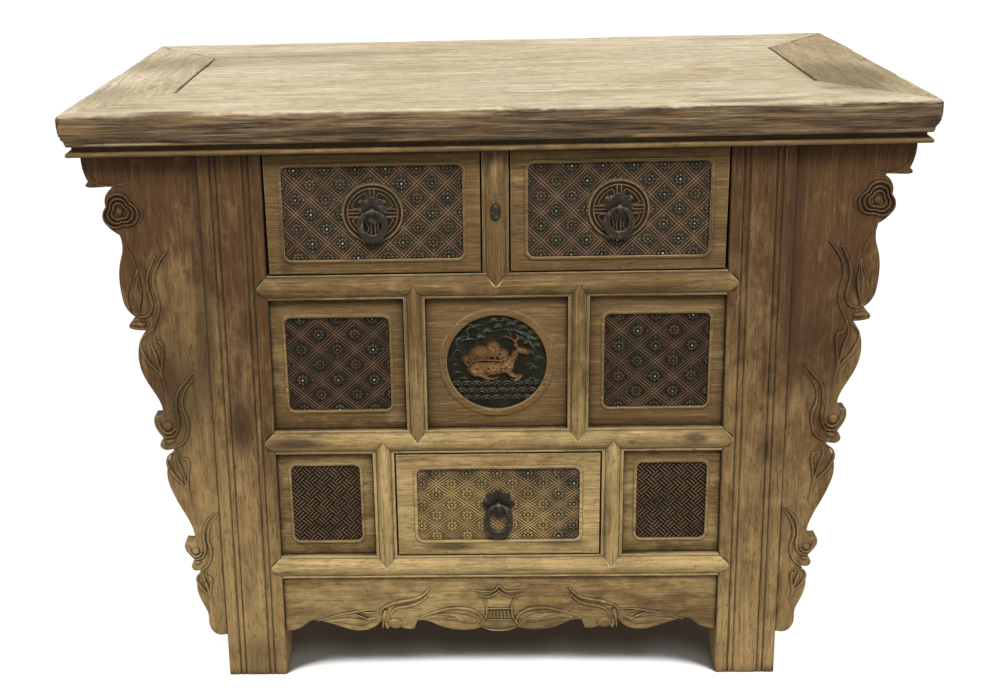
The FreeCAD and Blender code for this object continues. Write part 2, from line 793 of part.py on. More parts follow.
def pill(x, width, z_top, z_bottom, y0, y1):
    """An upright slot shape with round ends."""
    radius = width / 2
    outline = Outline(V(x - radius, y0, z_top - radius))
    outline.arc(V(x, y0, z_top), V(x + radius, y0, z_top - radius))
    outline.line(V(x + radius, y0, z_bottom + radius))
    outline.arc(V(x, y0, z_bottom), V(x - radius, y0, z_bottom + radius))
    return outline.face().extrude(V(0, y1 - y0, 0))


def make_pull(x, z, pull):
    """Petalled plate, split pin with an eye, and the ring that hangs in it."""
    plate_front = face_y - plate_thickness
    eye_y = plate_front - eye_radius
    reach = pull["plate"] / 2 - petal_radius
    petals = [disc(x, z, reach, plate_front, face_y)]
    for index in range(petal_count):
        angle = math.tau * index / petal_count
        petals.append(disc(x + reach * math.sin(angle), z + reach * math.cos(angle),
                           petal_radius, plate_front, face_y))
    plate = fuse_all(petals)
    back = face_y + drawer_front_thickness
    half = shank_size / 2
    eye = Part.makeCylinder(eye_radius, eye_width, V(x - eye_width / 2, eye_y, z), V(1, 0, 0))
    hole = Part.makeCylinder(eye_hole, eye_width, V(x - eye_width / 2, eye_y, z), V(1, 0, 0))
    shank = box(x - half, x + half, eye_y, back + pin_arm_thickness, z - half, z + half)
    arms = box(x - half, x + half, back, back + pin_arm_thickness,
               z - pin_arm_length, z + pin_arm_length)
    post = fuse_all([eye, shank, arms]).cut(hole)
    ring_top = z + ring_top_width / 2
    ring_bottom = ring_top - pull["ring_height"]
    outer = pill(x, pull["ring_width"], ring_top, ring_bottom,
                 eye_y - ring_thickness / 2, eye_y + ring_thickness / 2)
    inner = pill(x, ring_hole_width, ring_top - ring_top_width, ring_bottom + ring_bottom_width,
                 eye_y - ring_thickness / 2, eye_y + ring_thickness / 2)
    ring = outer.cut(inner)
    rims = [edge for edge in ring.Edges
            if abs(edge.Vertexes[0].Y - edge.Vertexes[-1].Y) < ring_edge]
    ring = ring.makeChamfer(ring_edge, rims)
    return plate.cut(post), post, ring


def make_stud(y):
    """Oval stud with its nail, on a stile whose crown is at y."""
    z = (upper_rail_top + moulding_bottom) / 2
    boss = pill(0, stud_width, z + stud_length / 2, z - stud_length / 2, y - stud_rise, y)
    rim = [edge for edge in boss.Edges
           if max(vertex.Y for vertex in edge.Vertexes) < y - stud_rise / 2]
    boss = boss.makeChamfer(stud_edge, rim)
    nail = Part.makeCylinder(nail_diameter / 2, nail_length, V(0, y, z), V(0, 1, 0))
    return fuse_all([boss, nail])


upper_pull = {"plate": upper_plate_diameter, "ring_width": upper_ring_width,
              "ring_height": upper_ring_height, "rise": upper_pull_rise}
lower_pull = {"plate": lower_plate_diameter, "ring_width": lower_ring_width,
              "ring_height": lower_ring_height, "rise": lower_pull_rise}


def make_cabinet():
    """Every piece of the cabinet by name."""
    pieces = {}
    pieces.update(make_top())
    pieces.update(make_moulding())

    legs = {
        "front_left_leg": raw_leg(-1, 1),
        "front_right_leg": raw_leg(1, 1),
        "back_left_leg": raw_leg(-1, -1),
        "back_right_leg": raw_leg(1, -1),
    }
    rails = {
        "upper_rail": front_rail(upper_rail_bottom),
        "middle_rail": front_rail(middle_rail_bottom),
        "lower_rail": front_rail(lower_rail_bottom),
    }
    stiles = {
        "centre_stile": front_stile(0, upper_rail_top, slab_bottom, centre_stile_width,
                                    top_point=False),
        "middle_left_stile": front_stile(-middle_stile_place, middle_rail_top,
                                         upper_rail_bottom, middle_stile_width),
        "middle_right_stile": front_stile(middle_stile_place, middle_rail_top,
                                          upper_rail_bottom, middle_stile_width),
        "lower_left_stile": front_stile(-lower_stile_place, lower_rail_top,
                                        middle_rail_bottom, lower_stile_width),
        "lower_right_stile": front_stile(lower_stile_place, lower_rail_top,
                                         middle_rail_bottom, lower_stile_width),
    }
    panels = make_panels()
    apron = make_apron()
    right_rails, right_panels = side_rails(), side_panels()
    all_side_rails = right_rails + [mirror_x(rail) for rail in right_rails]
    all_side_panels = right_panels + [mirror_x(board) for board in right_panels]
    rear_rails, rear_panels = back_rails(), back_panels()
    raw_legs = list(legs.values())
    floor = level_board(lower_rail_top, raw_legs)
    shelf = level_board(middle_rail_top, raw_legs)

    # The centre stile butts under the moulding, and its tenon runs up into the top
    stiles["centre_stile"] = stiles["centre_stile"].cut(pieces["under_moulding"])
    pieces["top_front_rail"] = pieces["top_front_rail"].cut(stiles["centre_stile"])

    # Let the panels, floor and shelf into the frame, then the frame into the legs
    boards = list(panels.values()) + [apron, floor, shelf]
    framing = list(stiles.values())
    for name, rail in rails.items():
        pieces[name] = cut_all(rail, framing + boards)
    for name, stile in stiles.items():
        pieces[name] = cut_all(stile, list(panels.values()))
    joined_side_rails = [cut_all(rail, all_side_panels + [floor, shelf])
                         for rail in all_side_rails]
    joined_back_rails = [cut_all(rail, rear_panels + [floor, shelf]) for rail in rear_rails]
    side_aprons = [side_apron(), mirror_x(side_apron())]
    into_legs = (list(rails.values()) + all_side_rails + rear_rails + list(panels.values())
                 + all_side_panels + rear_panels + [apron])
    for name, leg in legs.items():
        pieces[name] = cut_all(leg, into_legs)
    pieces.update(panels)
    pieces["front_apron"] = apron
    pieces["side_aprons"] = Part.makeCompound(side_aprons)
    pieces["side_rails"] = Part.makeCompound(joined_side_rails)
    pieces["side_panels"] = Part.makeCompound(all_side_panels)
    pieces["back_rails"] = Part.makeCompound(joined_back_rails)
    pieces["back_panels"] = Part.makeCompound(rear_panels)
    pieces["case_floor"] = floor
    pieces["middle_shelf"] = shelf
    pieces["upper_drawer_runners"] = Part.makeCompound(
        [cut_all(runner, raw_legs + all_side_rails) for runner in upper_runners()])
    pieces["lower_drawer_guides"] = Part.makeCompound(lower_guides())

    wing = cut_all(make_wing(wing_setback), [legs["front_right_leg"]])
    back_wing = mirror_y(cut_all(make_wing(back_wing_setback), [legs["front_right_leg"]]))
    pieces["front_right_wing"] = wing
    pieces["front_left_wing"] = mirror_x(wing)
    pieces["back_wings"] = Part.makeCompound([back_wing, mirror_x(back_wing)])

    stud = make_stud(face_y - bar_bulge)
    pieces["stile_stud"] = stud
    pieces["centre_stile"] = pieces["centre_stile"].cut(stud)

    half = centre_stile_width / 2
    opening = leg_inner(moulding_bottom)
    pieces.update(make_drawer("left", -opening, -half, upper_rail_top, moulding_bottom,
                              upper_field_side_margin, upper_field_end_margin, True, upper_pull))
    pieces.update(make_drawer("right", half, opening, upper_rail_top, moulding_bottom,
                              upper_field_side_margin, upper_field_end_margin, True, upper_pull))
    half = lower_stile_place - lower_stile_width / 2
    pieces.update(make_drawer("lower", -half, half, lower_rail_top, middle_rail_bottom,
                              drawer_field_side_margin, drawer_field_end_margin, False,
                              lower_pull))
    return pieces


os.makedirs("parts", exist_ok=True)
cabinet = make_cabinet()
for piece_name, piece in cabinet.items():
    piece.exportStep("parts/" + piece_name + ".step")
print(len(cabinet), "pieces;", "eye at", round(face_y - plate_thickness - eye_radius, 2))
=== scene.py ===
# %% [markdown]
# # An old elm coffer for a kang
# A kang is a heated brick bed, and this low coffer stood on it or beside it: a thick framed
# top with wide overhangs, leaning legs with carved wing brackets, three drawers and a row of
# fixed carved panels. The joinery comes from the CAD model. This lesson adds what a joiner's
# drawing leaves out: bleached and sooty elm, carving worn by hands, and forged iron.

import math

import bmesh
import bpy
from mathutils import Matrix, Vector, noise
from mathutils.bvhtree import BVHTree


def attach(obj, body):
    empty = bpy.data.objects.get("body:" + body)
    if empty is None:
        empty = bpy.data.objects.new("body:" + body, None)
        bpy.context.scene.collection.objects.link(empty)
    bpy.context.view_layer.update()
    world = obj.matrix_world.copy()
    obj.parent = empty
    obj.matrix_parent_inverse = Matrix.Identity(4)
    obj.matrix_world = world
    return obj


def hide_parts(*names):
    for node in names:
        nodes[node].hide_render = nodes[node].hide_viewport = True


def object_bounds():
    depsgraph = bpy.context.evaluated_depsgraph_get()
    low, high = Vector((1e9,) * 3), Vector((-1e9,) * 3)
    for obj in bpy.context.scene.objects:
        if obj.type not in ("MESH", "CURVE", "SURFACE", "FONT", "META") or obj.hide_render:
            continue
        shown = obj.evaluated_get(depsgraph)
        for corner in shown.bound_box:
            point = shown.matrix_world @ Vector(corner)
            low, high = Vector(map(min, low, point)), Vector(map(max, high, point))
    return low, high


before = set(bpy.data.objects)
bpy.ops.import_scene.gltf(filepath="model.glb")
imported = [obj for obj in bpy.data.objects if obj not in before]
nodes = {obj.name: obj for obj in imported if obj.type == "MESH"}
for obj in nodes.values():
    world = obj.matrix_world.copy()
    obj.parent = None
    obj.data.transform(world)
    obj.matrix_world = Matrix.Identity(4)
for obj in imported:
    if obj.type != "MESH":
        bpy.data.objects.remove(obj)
cad_low, cad_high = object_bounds()
print("nodes:", len(nodes), "box in metres:", [round(v, 3) for v in cad_high - cad_low])

# %% [markdown]
# ## Working by hand in code
# An operator acts on all that is selected, and the loaded nodes arrive selected. So every
# step begins with a clean selection. Small helpers do that, settle a finished piece so that
# its place is in its mesh, join pieces that are carved from one board, choose faces for edit
# mode, take a copy of a CAD node and find its middle. Lengths are written in millimetres and
# turned to metres by one factor.

# %% Selecting, settling and joining
MM = 0.001


def pick(*pieces):
    """Select just these pieces, in object mode."""
    if bpy.context.object and bpy.context.object.mode != "OBJECT":
        bpy.ops.object.mode_set(mode="OBJECT")
    bpy.ops.object.select_all(action="DESELECT")
    for piece in pieces:
        piece.select_set(True)
    bpy.context.view_layer.objects.active = pieces[0]
    return pieces[0]


def settle(piece):
    """Put a piece's place, turn and size into its mesh."""
    pick(piece)
    bpy.ops.object.transform_apply(location=True, rotation=True, scale=True)
    return piece


def join(pieces, name):
    """Make one mesh of several pieces."""
    pick(*pieces)
    if len(pieces) > 1:
        bpy.ops.object.join()
    piece = bpy.context.object
    piece.name = name
    return settle(piece)


def modify(piece, kind, **settings):
    """Add one modifier, set it and apply it."""
    pick(piece)
    bpy.ops.object.modifier_add(type=kind)
    modifier = piece.modifiers[-1]
    for key, value in settings.items():
        setattr(modifier, key, value)
    bpy.ops.object.modifier_apply(modifier=modifier.name)
    return piece


def choose(piece, test):
    """Open a piece for editing with just the faces that pass a test selected."""
    pick(piece)
    bpy.ops.object.mode_set(mode="EDIT")
    bpy.ops.mesh.select_mode(type="FACE")
    bpy.ops.mesh.select_all(action="DESELECT")
    skin = bmesh.from_edit_mesh(piece.data)
    for face in skin.faces:
        face.select_set(test(face))
    bmesh.update_edit_mesh(piece.data)


def own_copy(name, title):
    """A separate, stitched copy of a CAD node, under a title of its own."""
    pick(nodes[name])
    bpy.ops.object.duplicate()
    piece = bpy.context.object
    piece.name = title
    choose(piece, lambda face: True)
    bpy.ops.mesh.remove_doubles(threshold=0.02 * MM)
    return pick(piece)


def middle_of(name):
    """Where the middle of a CAD node lies across and up, to a hundredth of a millimetre."""
    spots = [vertex.co / MM for vertex in nodes[name].data.vertices]
    return [round((min(spot[axis] for spot in spots) + max(spot[axis] for spot in spots)) / 2, 2)
            for axis in (0, 2)]


def triangles(piece):
    """How many triangles a mesh comes to."""
    return sum(len(face.vertices) - 2 for face in piece.data.polygons)


print("helpers ready, one unit is", MM, "m")

# %% [markdown]
# ## Colours and shader nodes
# Paint and wood are judged by eye as hex values on a screen, but the renderer adds light in
# linear values. One function turns hex to linear. Another adds a shader node with its
# settings and links, so that each material reads as a short recipe.

# %% Hex colours and the node helper
# Colour of grime and of painted shade in corners and grooves.
OIL_GRIME_AND_SHADE = "#1c130b"
DEEPEST = "#0d0906"
FRAYED = 1.8
SPOT_FADES = (2.3, 1.5)


def linear(code):
    """An sRGB hex colour as linear red, green, blue and alpha."""
    channels = [int(code[i:i + 2], 16) / 255 for i in (1, 3, 5)]
    curve = [c / 12.92 if c <= 0.04045 else ((c + 0.055) / 1.055) ** 2.4 for c in channels]
    return (*curve, 1.0)


def add(tree, kind, inputs=None, stops=None, out=0, **settings):
    """Add a node, set or link its inputs, place a ramp's stops, and hand back one output."""
    node = tree.nodes.new("ShaderNode" + kind)
    for key, value in settings.items():
        setattr(node, key, value)
    for key, value in (inputs or {}).items():
        if isinstance(value, bpy.types.NodeSocket):
            tree.links.new(value, node.inputs[key])
        else:
            node.inputs[key].default_value = value
    if stops:
        elements = node.color_ramp.elements
        while len(elements) < len(stops):
            elements.new(1.0)
        for element, (place, colour) in zip(elements, stops):
            element.position = place
            element.color = linear(colour)
    return node.outputs[out] if node.outputs else node


def new_material(name):
    """An empty material and its node tree."""
    material = bpy.data.materials.new(name)
    material.use_nodes = True
    material.node_tree.nodes.clear()
    return material, material.node_tree


def near(tree, place, ragged, middle, size, strength):
    """How strongly a spot with a ragged edge colours each point; lengths in millimetres."""
    moved = add(tree, "Mapping", {0: place, 1: [-value * MM for value in middle]})
    scaled = add(tree, "Mapping", {0: moved, 3: [1 / (value * MM) for value in size]})
    far = add(tree, "VectorMath", {0: scaled}, out=1, operation="LENGTH")
    frayed = add(tree, "Math", {0: ragged, 1: FRAYED, 2: far}, operation="MULTIPLY_ADD")
    return add(tree, "MapRange", {0: frayed, 1: SPOT_FADES[0], 2: SPOT_FADES[1], 3: 0.0, 4: strength})


print("oil grime in linear values:", [round(v, 3) for v in linear(OIL_GRIME_AND_SHADE)])

# %% [markdown]
# ## Old elm
# Elm is ring-porous: every year leaves a band of open pores, so a plain-sawn board shows
# nested flames and its grain is coarse enough to catch dirt. Two centuries of hands, soot
# and scrubbing leave it pale on the arrises and top and brown on the faces, and grime with
# painted shade makes it nearly black in the corners. Each feature of the grain is a noise
# with a width and a run in millimetres. The flames and the fine dark lines are contour lines
# of such noises. Pores are really half a millimetre wide and are drawn a little coarser, so
# that they show. Occlusion finds the corners, where grime stays and shade is painted, and a
# rounded normal finds the arrises that are rubbed pale, the upward ones paler as a painted
# highlight. The faces darken towards the top, partly for soot and partly as painted shade.

# %% The elm recipe
GRAIN_MM = {
    "flame": (70.0, 780.0, 2.0, 0.42),
    "band": (9.0, 120.0, 6.0, 0.66),
    "line": (9.0, 210.0, 4.0, 0.55),
    "fibre": (1.9, 62.0, 4.0, 0.70),
    "pore": (0.9, 15.0, 2.0, 0.50),
    "pit": (4.2, 11.0, 3.0, 0.60),
    "blotch": (140.0, 300.0, 6.0, 0.62),
    "mottle": (19.0, 33.0, 5.0, 0.66),
}
FLAME_BANDS = 9.0
# Reach of the fine occlusion that puts grime and painted shade in grooves.
GROOVE_DIRT_AND_SHADE_MM = 2.6
GRAIN_DEPTH_MM = 0.8
ARRIS_MM = 2.2


def old_elm(name, grain, pale, brown, dark, worn, soot_and_shade=None, front=None, grime_and_shade=0.75, wear=0.8,
            corner=20.0, shift=0.0, streaks=1.0, cracks=0.5, stains_and_shadows=()):
    """Elm with its grain along one axis. Soot and shade is a low height, a high height and the
    strength of a darkening towards the top, partly soot and partly painted shade; a stain is a
    middle, a size and a strength, and some stains are painted shadows; corner is how far grime
    and painted shade spread from one, and front holds the colours of the soot and painted
    shade on steep sides."""
    material, tree = new_material(name)
    place = add(tree, "TexCoord", out=3)
    moved = add(tree, "Mapping", {0: place, 1: (shift, shift, shift)})
    layer = {}
    for feature, (across, run, detail, roughness) in GRAIN_MM.items():
        scale = [run if axis == grain else across for axis in "XYZ"]
        here = add(tree, "Mapping", {0: moved, 3: [1 / (size * MM) for size in scale]})
        layer[feature] = add(tree, "TexNoise", {"Vector": here, "Scale": 1.0, "Detail": detail,
                                                "Roughness": roughness, "Distortion": 0.5})
    wave = add(tree, "Math", {0: layer["flame"], 1: FLAME_BANDS * math.tau}, operation="MULTIPLY")
    layer["ring"] = add(tree, "Math", {0: wave}, operation="SINE")
    off = add(tree, "Math", {0: layer["line"], 1: 0.5}, operation="SUBTRACT")
    layer["crack"] = add(tree, "Math", {0: off}, operation="ABSOLUTE")

    tone = add(tree, "MapRange", {0: layer["blotch"], 1: 0.26, 2: 0.78})
    # The wood darkens towards the top: partly soot, partly painted shade under the overhang.
    if soot_and_shade:
        height = add(tree, "SeparateXYZ", {0: place}, out=2)
        smoke_and_shade = add(tree, "MapRange", {0: height, 1: soot_and_shade[0], 2: soot_and_shade[1], 3: -0.35 * soot_and_shade[2],
                                       4: 0.65 * soot_and_shade[2]})
        tone = add(tree, "Math", {0: tone, 1: smoke_and_shade}, operation="ADD")
    sways = (("mottle", 0.35, 0.65, 0.24), ("band", 0.32, 0.68, 0.24 * streaks))
    for feature, low, high, spread in sways:
        sway = add(tree, "MapRange", {0: layer[feature], 1: low, 2: high, 3: -spread, 4: spread})
        tone = add(tree, "Math", {0: tone, 1: sway}, operation="ADD")
    colour = add(tree, "Mix", {0: tone, 6: linear(pale), 7: linear(brown)}, out=2, data_type="RGBA")
    facing = add(tree, "NewGeometry", out=1)
    washes = (("ring", -0.5, 1.0, 0.16, dark), ("band", 0.54, 0.72, 0.42 * streaks, dark),
              ("band", 0.45, 0.28, 0.34 * streaks, pale), ("crack", 0.016, 0.004, cracks, dark),
              ("pore", 0.55, 0.68, 0.45, dark), ("pit", 0.63, 0.70, 0.55, dark),
              ("fibre", 0.56, 0.72, 0.22 + 0.20 * streaks, dark),
              ("fibre", 0.44, 0.30, 0.16 + 0.14 * streaks, worn))
    for feature, low, high, strength, tint in washes:
        share = add(tree, "MapRange", {0: layer[feature], 1: low, 2: high, 3: 0.0, 4: strength})
        colour = add(tree, "Mix", {0: share, 6: colour, 7: linear(tint)}, out=2, data_type="RGBA")
    # Stains; on the drawer fronts also a painted shadow under the moulding.
    for middle, size, strength in stains_and_shadows:
        share = near(tree, place, layer["mottle"], middle, size, strength)
        colour = add(tree, "Mix", {0: share, 6: colour, 7: linear(dark)}, out=2, data_type="RGBA")
    # Arrises are rubbed pale by wear; the upward ones are paler still as a painted highlight.
    soft = add(tree, "Bevel", {"Radius": ARRIS_MM * MM}, samples=4)
    bend = add(tree, "VectorMath", {0: soft, 1: facing}, out=1, operation="DOT_PRODUCT")
    edge = add(tree, "MapRange", {0: bend, 1: 0.995, 2: 0.84, 3: 0.0, 4: wear})
    patchy = add(tree, "MapRange", {0: layer["mottle"], 1: 0.36, 2: 0.50})
    upper_edge_highlight = add(tree, "MapRange", {0: add(tree, "SeparateXYZ", {0: soft}, out=2), 1: -0.25, 2: 0.25,
                                   3: 0.15, 4: 1.0})
    rubbed_and_highlit = add(tree, "Math", {0: edge, 1: patchy}, operation="MULTIPLY")
    rubbed_and_highlit = add(tree, "Math", {0: rubbed_and_highlit, 1: upper_edge_highlight}, operation="MULTIPLY")
    colour = add(tree, "Mix", {0: rubbed_and_highlit, 6: colour, 7: linear(worn)}, out=2, data_type="RGBA")
    # The steep sides of the top boards get darker colours: soot and painted shade.
    if front:
        upward = add(tree, "SeparateXYZ", {0: facing}, out=2)
        steep = add(tree, "MapRange", {0: upward, 1: 0.90, 2: 0.50})
        smear_and_shade = add(tree, "ValToRGB", {0: layer["band"]}, stops=tuple(zip(SMEAR_STOPS, front)))
        kept = add(tree, "MapRange", {0: layer["fibre"], 1: 0.30, 2: 0.55, 3: 0.70, 4: 1.0})
        sooty_and_shaded = add(tree, "Math", {0: steep, 1: kept}, operation="MULTIPLY")
        colour = add(tree, "Mix", {0: sooty_and_shaded, 6: colour, 7: smear_and_shade}, out=2, data_type="RGBA")
    # Occlusion darkens corners and grooves with grime and painted shade.
    corners = ((corner, 0.92, 0.36, grime_and_shade), (GROOVE_DIRT_AND_SHADE_MM, 0.96, 0.45, 0.3 + 0.8 * grime_and_shade))
    for reach, open_share, shut, strength in corners:
        hidden = add(tree, "AmbientOcclusion", {"Distance": reach * MM}, out=1, samples=6)
        ragged = add(tree, "MapRange", {0: layer["mottle"], 1: 0.3, 2: 0.7, 3: 0.08, 4: -0.08})
        ragged = add(tree, "Math", {0: hidden, 1: ragged}, operation="ADD")
        grime_and_shade_share = add(tree, "MapRange", {0: ragged, 1: open_share, 2: shut, 3: 0.0, 4: strength})
        colour = add(tree, "Mix", {0: grime_and_shade_share, 6: colour, 7: linear(OIL_GRIME_AND_SHADE)}, out=2, data_type="RGBA")
    relief = layer["fibre"]
    depths = (("pore", -0.5), ("band", -1.2), ("ring", -0.12), ("crack", 3.0), ("pit", -0.5))
    for feature, depth in depths:
        relief = add(tree, "Math", {0: layer[feature], 1: depth, 2: relief}, operation="MULTIPLY_ADD")
    bump = add(tree, "Bump", {"Strength": 0.8, "Distance": GRAIN_DEPTH_MM * MM, "Height": relief,
                              "Normal": soft})
    rough = add(tree, "MapRange", {0: layer["fibre"], 1: 0.3, 2: 0.7, 3: 0.60, 4: 0.86})
    shader = add(tree, "BsdfPrincipled", {"Base Color": colour, "Roughness": rough, "Normal": bump,
                                          "Specular IOR Level": 0.18})
    add(tree, "OutputMaterial", {"Surface": shader})
    return material


# %% Elm for each way the boards run
TOP = {"pale": "#d6c9ae", "brown": "#ae9d79", "dark": "#5a482f", "worn": "#e0d3b8"}
TOP_RIGHT = {"pale": "#b9a886", "brown": "#907d5b", "dark": "#4b3a23", "worn": "#c8b997"}
FACE = {"pale": "#957b50", "brown": "#533920", "dark": "#2b1c0f", "worn": "#ab9160"}
BARE = {"pale": "#b09764", "brown": "#6a5230", "dark": "#38271a", "worn": "#d4bf8f"}
# Colours of the darkened sides of the top: soot and painted shade.
SOOTY_SHADED_EDGE = ("#78603f", "#523e27", "#32241a")
SMEAR_STOPS = (0.36, 0.50, 0.62)
TOP_STAINS = (((-330, 120, 792), (140, 60, 60), 0.20), ((120, -200, 792), (260, 22, 60), 0.16),
              ((-60, 20, 792), (200, 16, 60), 0.14), ((-505, -150, 792), (24, 60, 60), 0.35),
              ((455, -120, 792), (48, 120, 60), 0.55), ((-470, 90, 792), (70, 60, 60), 0.30),
              ((-390, -298, 790), (40, 10, 14), 0.80), ((300, -285, 790), (60, 12, 12), 0.60),
              ((-180, 180, 792), (190, 30, 60), 0.22), ((360, 250, 792), (60, 22, 60), 0.30))
POST_STAINS = (((-335, -275, 372), (14, 60, 34), 0.75), ((-415, -272, 420), (34, 60, 60), 0.55),
               ((405, -272, 470), (30, 60, 60), 0.45), ((-372, -272, 560), (10, 60, 190), 0.5),
               ((372, -272, 590), (10, 60, 150), 0.45), ((-325, -287, 30), (30, 60, 30), 0.40))
RAIL_STAINS = (((-262, -275, 350), (34, 60, 7), 0.80), ((255, -275, 352), (14, 60, 6), 0.75))
# The first two spots on the fronts are a painted shadow under the moulding, along the top of the upper
# drawers; the others are stains.
FRONT_STAINS_AND_SHADOW = (((-151, -275, 737), (150, 60, 5.5), 0.97), ((151, -275, 737), (150, 60, 5.5), 0.97),
                ((-62, -275, 196), (32, 60, 5), 0.75), ((-262, -275, 600), (8, 60, 60), 0.50),
                ((262, -275, 640), (8, 60, 50), 0.55), ((90, -275, 200), (30, 60, 6), 0.50))
SCRUBBED = {"front": SOOTY_SHADED_EDGE, "grime_and_shade": 0.25, "wear": 0.2, "stains_and_shadows": TOP_STAINS}
# Where the darkening towards the top starts and ends, in metres, and its strength: soot and painted shade.
UPRIGHT_SOOT_AND_SHADE = (0.05, 0.70, 1.15)
RAIL_SOOT_AND_SHADE = (0.18, 0.62, 1.0)
finishes = {
    "top_long": old_elm("bleached_elm_long_boards", "X", **TOP, **SCRUBBED, streaks=0.6),
    "top_end": old_elm("bleached_elm_left_end_board", "Y", **TOP, **SCRUBBED, streaks=0.6, shift=0.7),
    "top_right": old_elm("stained_elm_right_end_board", "Y", **TOP_RIGHT, **SCRUBBED, streaks=0.7,
                         shift=0.4),
    "upright": old_elm("hand_planed_elm_uprights", "Z", **FACE, soot_and_shade=UPRIGHT_SOOT_AND_SHADE, streaks=0.5,
                       stains_and_shadows=POST_STAINS),
    "scroll": old_elm("carved_elm_scrolls", "Z", **FACE, soot_and_shade=UPRIGHT_SOOT_AND_SHADE, grime_and_shade=0.95, corner=8.0,
                      streaks=0.5, stains_and_shadows=POST_STAINS),
    "moulding": old_elm("sooty_shaded_elm_moulding", "X", **BARE, soot_and_shade=(0.0, 0.7, 0.9), grime_and_shade=0.95, wear=1.0,
                        corner=12.0, streaks=0.5),
    "rail": old_elm("hand_planed_elm_rails", "X", **BARE, soot_and_shade=RAIL_SOOT_AND_SHADE, streaks=0.6,
                    stains_and_shadows=RAIL_STAINS),
    "apron": old_elm("carved_elm_apron", "X", **BARE, soot_and_shade=(-0.5, 0.4, 0.95), grime_and_shade=0.95, corner=8.0,
                     streaks=0.35),
    "stile": old_elm("hand_planed_elm_stiles", "Z", **BARE, soot_and_shade=RAIL_SOOT_AND_SHADE, streaks=0.6, shift=0.3),
    "front": old_elm("hand_planed_elm_fronts", "X", **BARE, soot_and_shade=(0.10, 0.66, 1.1), streaks=0.5,
                     shift=0.5, grime_and_shade=0.95, corner=9.0, stains_and_shadows=FRONT_STAINS_AND_SHADOW),
    "panel": old_elm("smoky_shaded_elm_panels", "X", **BARE, soot_and_shade=(-0.25, 0.60, 1.2), streaks=0.5,
                     shift=0.5),
    "side": old_elm("hand_planed_elm_side_rails", "Y", **FACE, soot_and_shade=UPRIGHT_SOOT_AND_SHADE, shift=0.2),
}
print("elm finishes:", ", ".join(sorted(finishes)))

# %% [markdown]
# ## Which node gets which board
# A joiner runs the grain along each piece, so the material follows the direction of the
# board. The node's own material slot stands for the whole piece.

# %% Give each node its wood
wood_of = {
    "top_long": ["top_front_rail", "top_back_rail", "top_panel"],
    "top_end": ["top_left_end"],
    "top_right": ["top_right_end"],
    "moulding": ["under_moulding"],
    "upright": ["front_left_leg", "front_right_leg", "back_left_leg", "back_right_leg",
                "front_left_wing", "front_right_wing", "back_wings"],
    "rail": ["upper_rail", "middle_rail", "lower_rail", "back_rails"],
    "apron": ["front_apron"],
    "stile": ["centre_stile", "middle_left_stile", "middle_right_stile", "lower_left_stile",
              "lower_right_stile"],
    "front": ["left_drawer_front", "right_drawer_front", "lower_drawer_front"],
    "panel": ["middle_left_panel", "middle_right_panel", "medallion_panel", "lower_left_panel",
              "lower_right_panel", "back_panels", "case_floor", "middle_shelf", "left_drawer_back",
              "right_drawer_back", "lower_drawer_back", "left_drawer_bottom", "right_drawer_bottom",
              "lower_drawer_bottom"],
    "side": ["side_rails", "side_panels", "side_aprons", "top_battens", "upper_drawer_runners",
             "lower_drawer_guides", "left_drawer_sides", "right_drawer_sides",
             "lower_drawer_sides"],
}
for finish, names in wood_of.items():
    for name in names:
        nodes[name].data.materials.clear()
        nodes[name].data.materials.append(finishes[finish])
print("pieces in wood:", sum(len(names) for names in wood_of.values()))

# %% [markdown]
# ## Edges eased by hands and cloths
# No edge of old furniture is sharp. Each rail, stile and drawer front was planed square, and
# then two centuries of wiping rounded the arrises by about a millimetre, which is why the
# joints show as fine dark V lines with a pale lip. A copy of each CAD piece has its flat
# triangles dissolved back into whole faces, and a bevel on every edge that turns by more
# than 35 degrees does what the hands did.

# %% Ease the front's frame, drawers and panels
EASE_MM = 1.1
eased_pieces = []


def ease(name, body, width=EASE_MM):
    """A copy of a CAD piece with its arrises rounded."""
    piece = own_copy(name, "eased_" + name)
    choose(piece, lambda face: True)
    bpy.ops.mesh.dissolve_limited(angle_limit=math.radians(1.0))
    modify(piece, "BEVEL", width=width * MM, segments=2, limit_method="ANGLE",
           angle_limit=math.radians(35), harden_normals=False)
    pick(piece)
    bpy.ops.object.shade_smooth_by_angle(angle=math.radians(40))
    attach(piece, body)
    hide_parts(name)
    eased_pieces.append(piece)
    return piece


for name in wood_of["rail"][:3] + wood_of["stile"]:
    ease(name, "case")
for name in ("left", "right", "lower"):
    ease(name + "_drawer_front", name + "_drawer")
for name in wood_of["panel"][:5]:
    ease(name, "case", 0.7)
for name in ("front_left_wing", "front_right_wing", "front_apron"):
    ease(name, "case", 1.6)
print("eased pieces:", len(eased_pieces), "triangles:", sum(triangles(p) for p in eased_pieces))

# %% [markdown]
# ## Forged iron
# Plates, staples, rings and the stud are hammered from wrought iron and blackened with oil.
# A century of hands has polished small high spots back to grey metal, and the rest keeps a
# thin brown-black scale that is rough and nearly without shine.

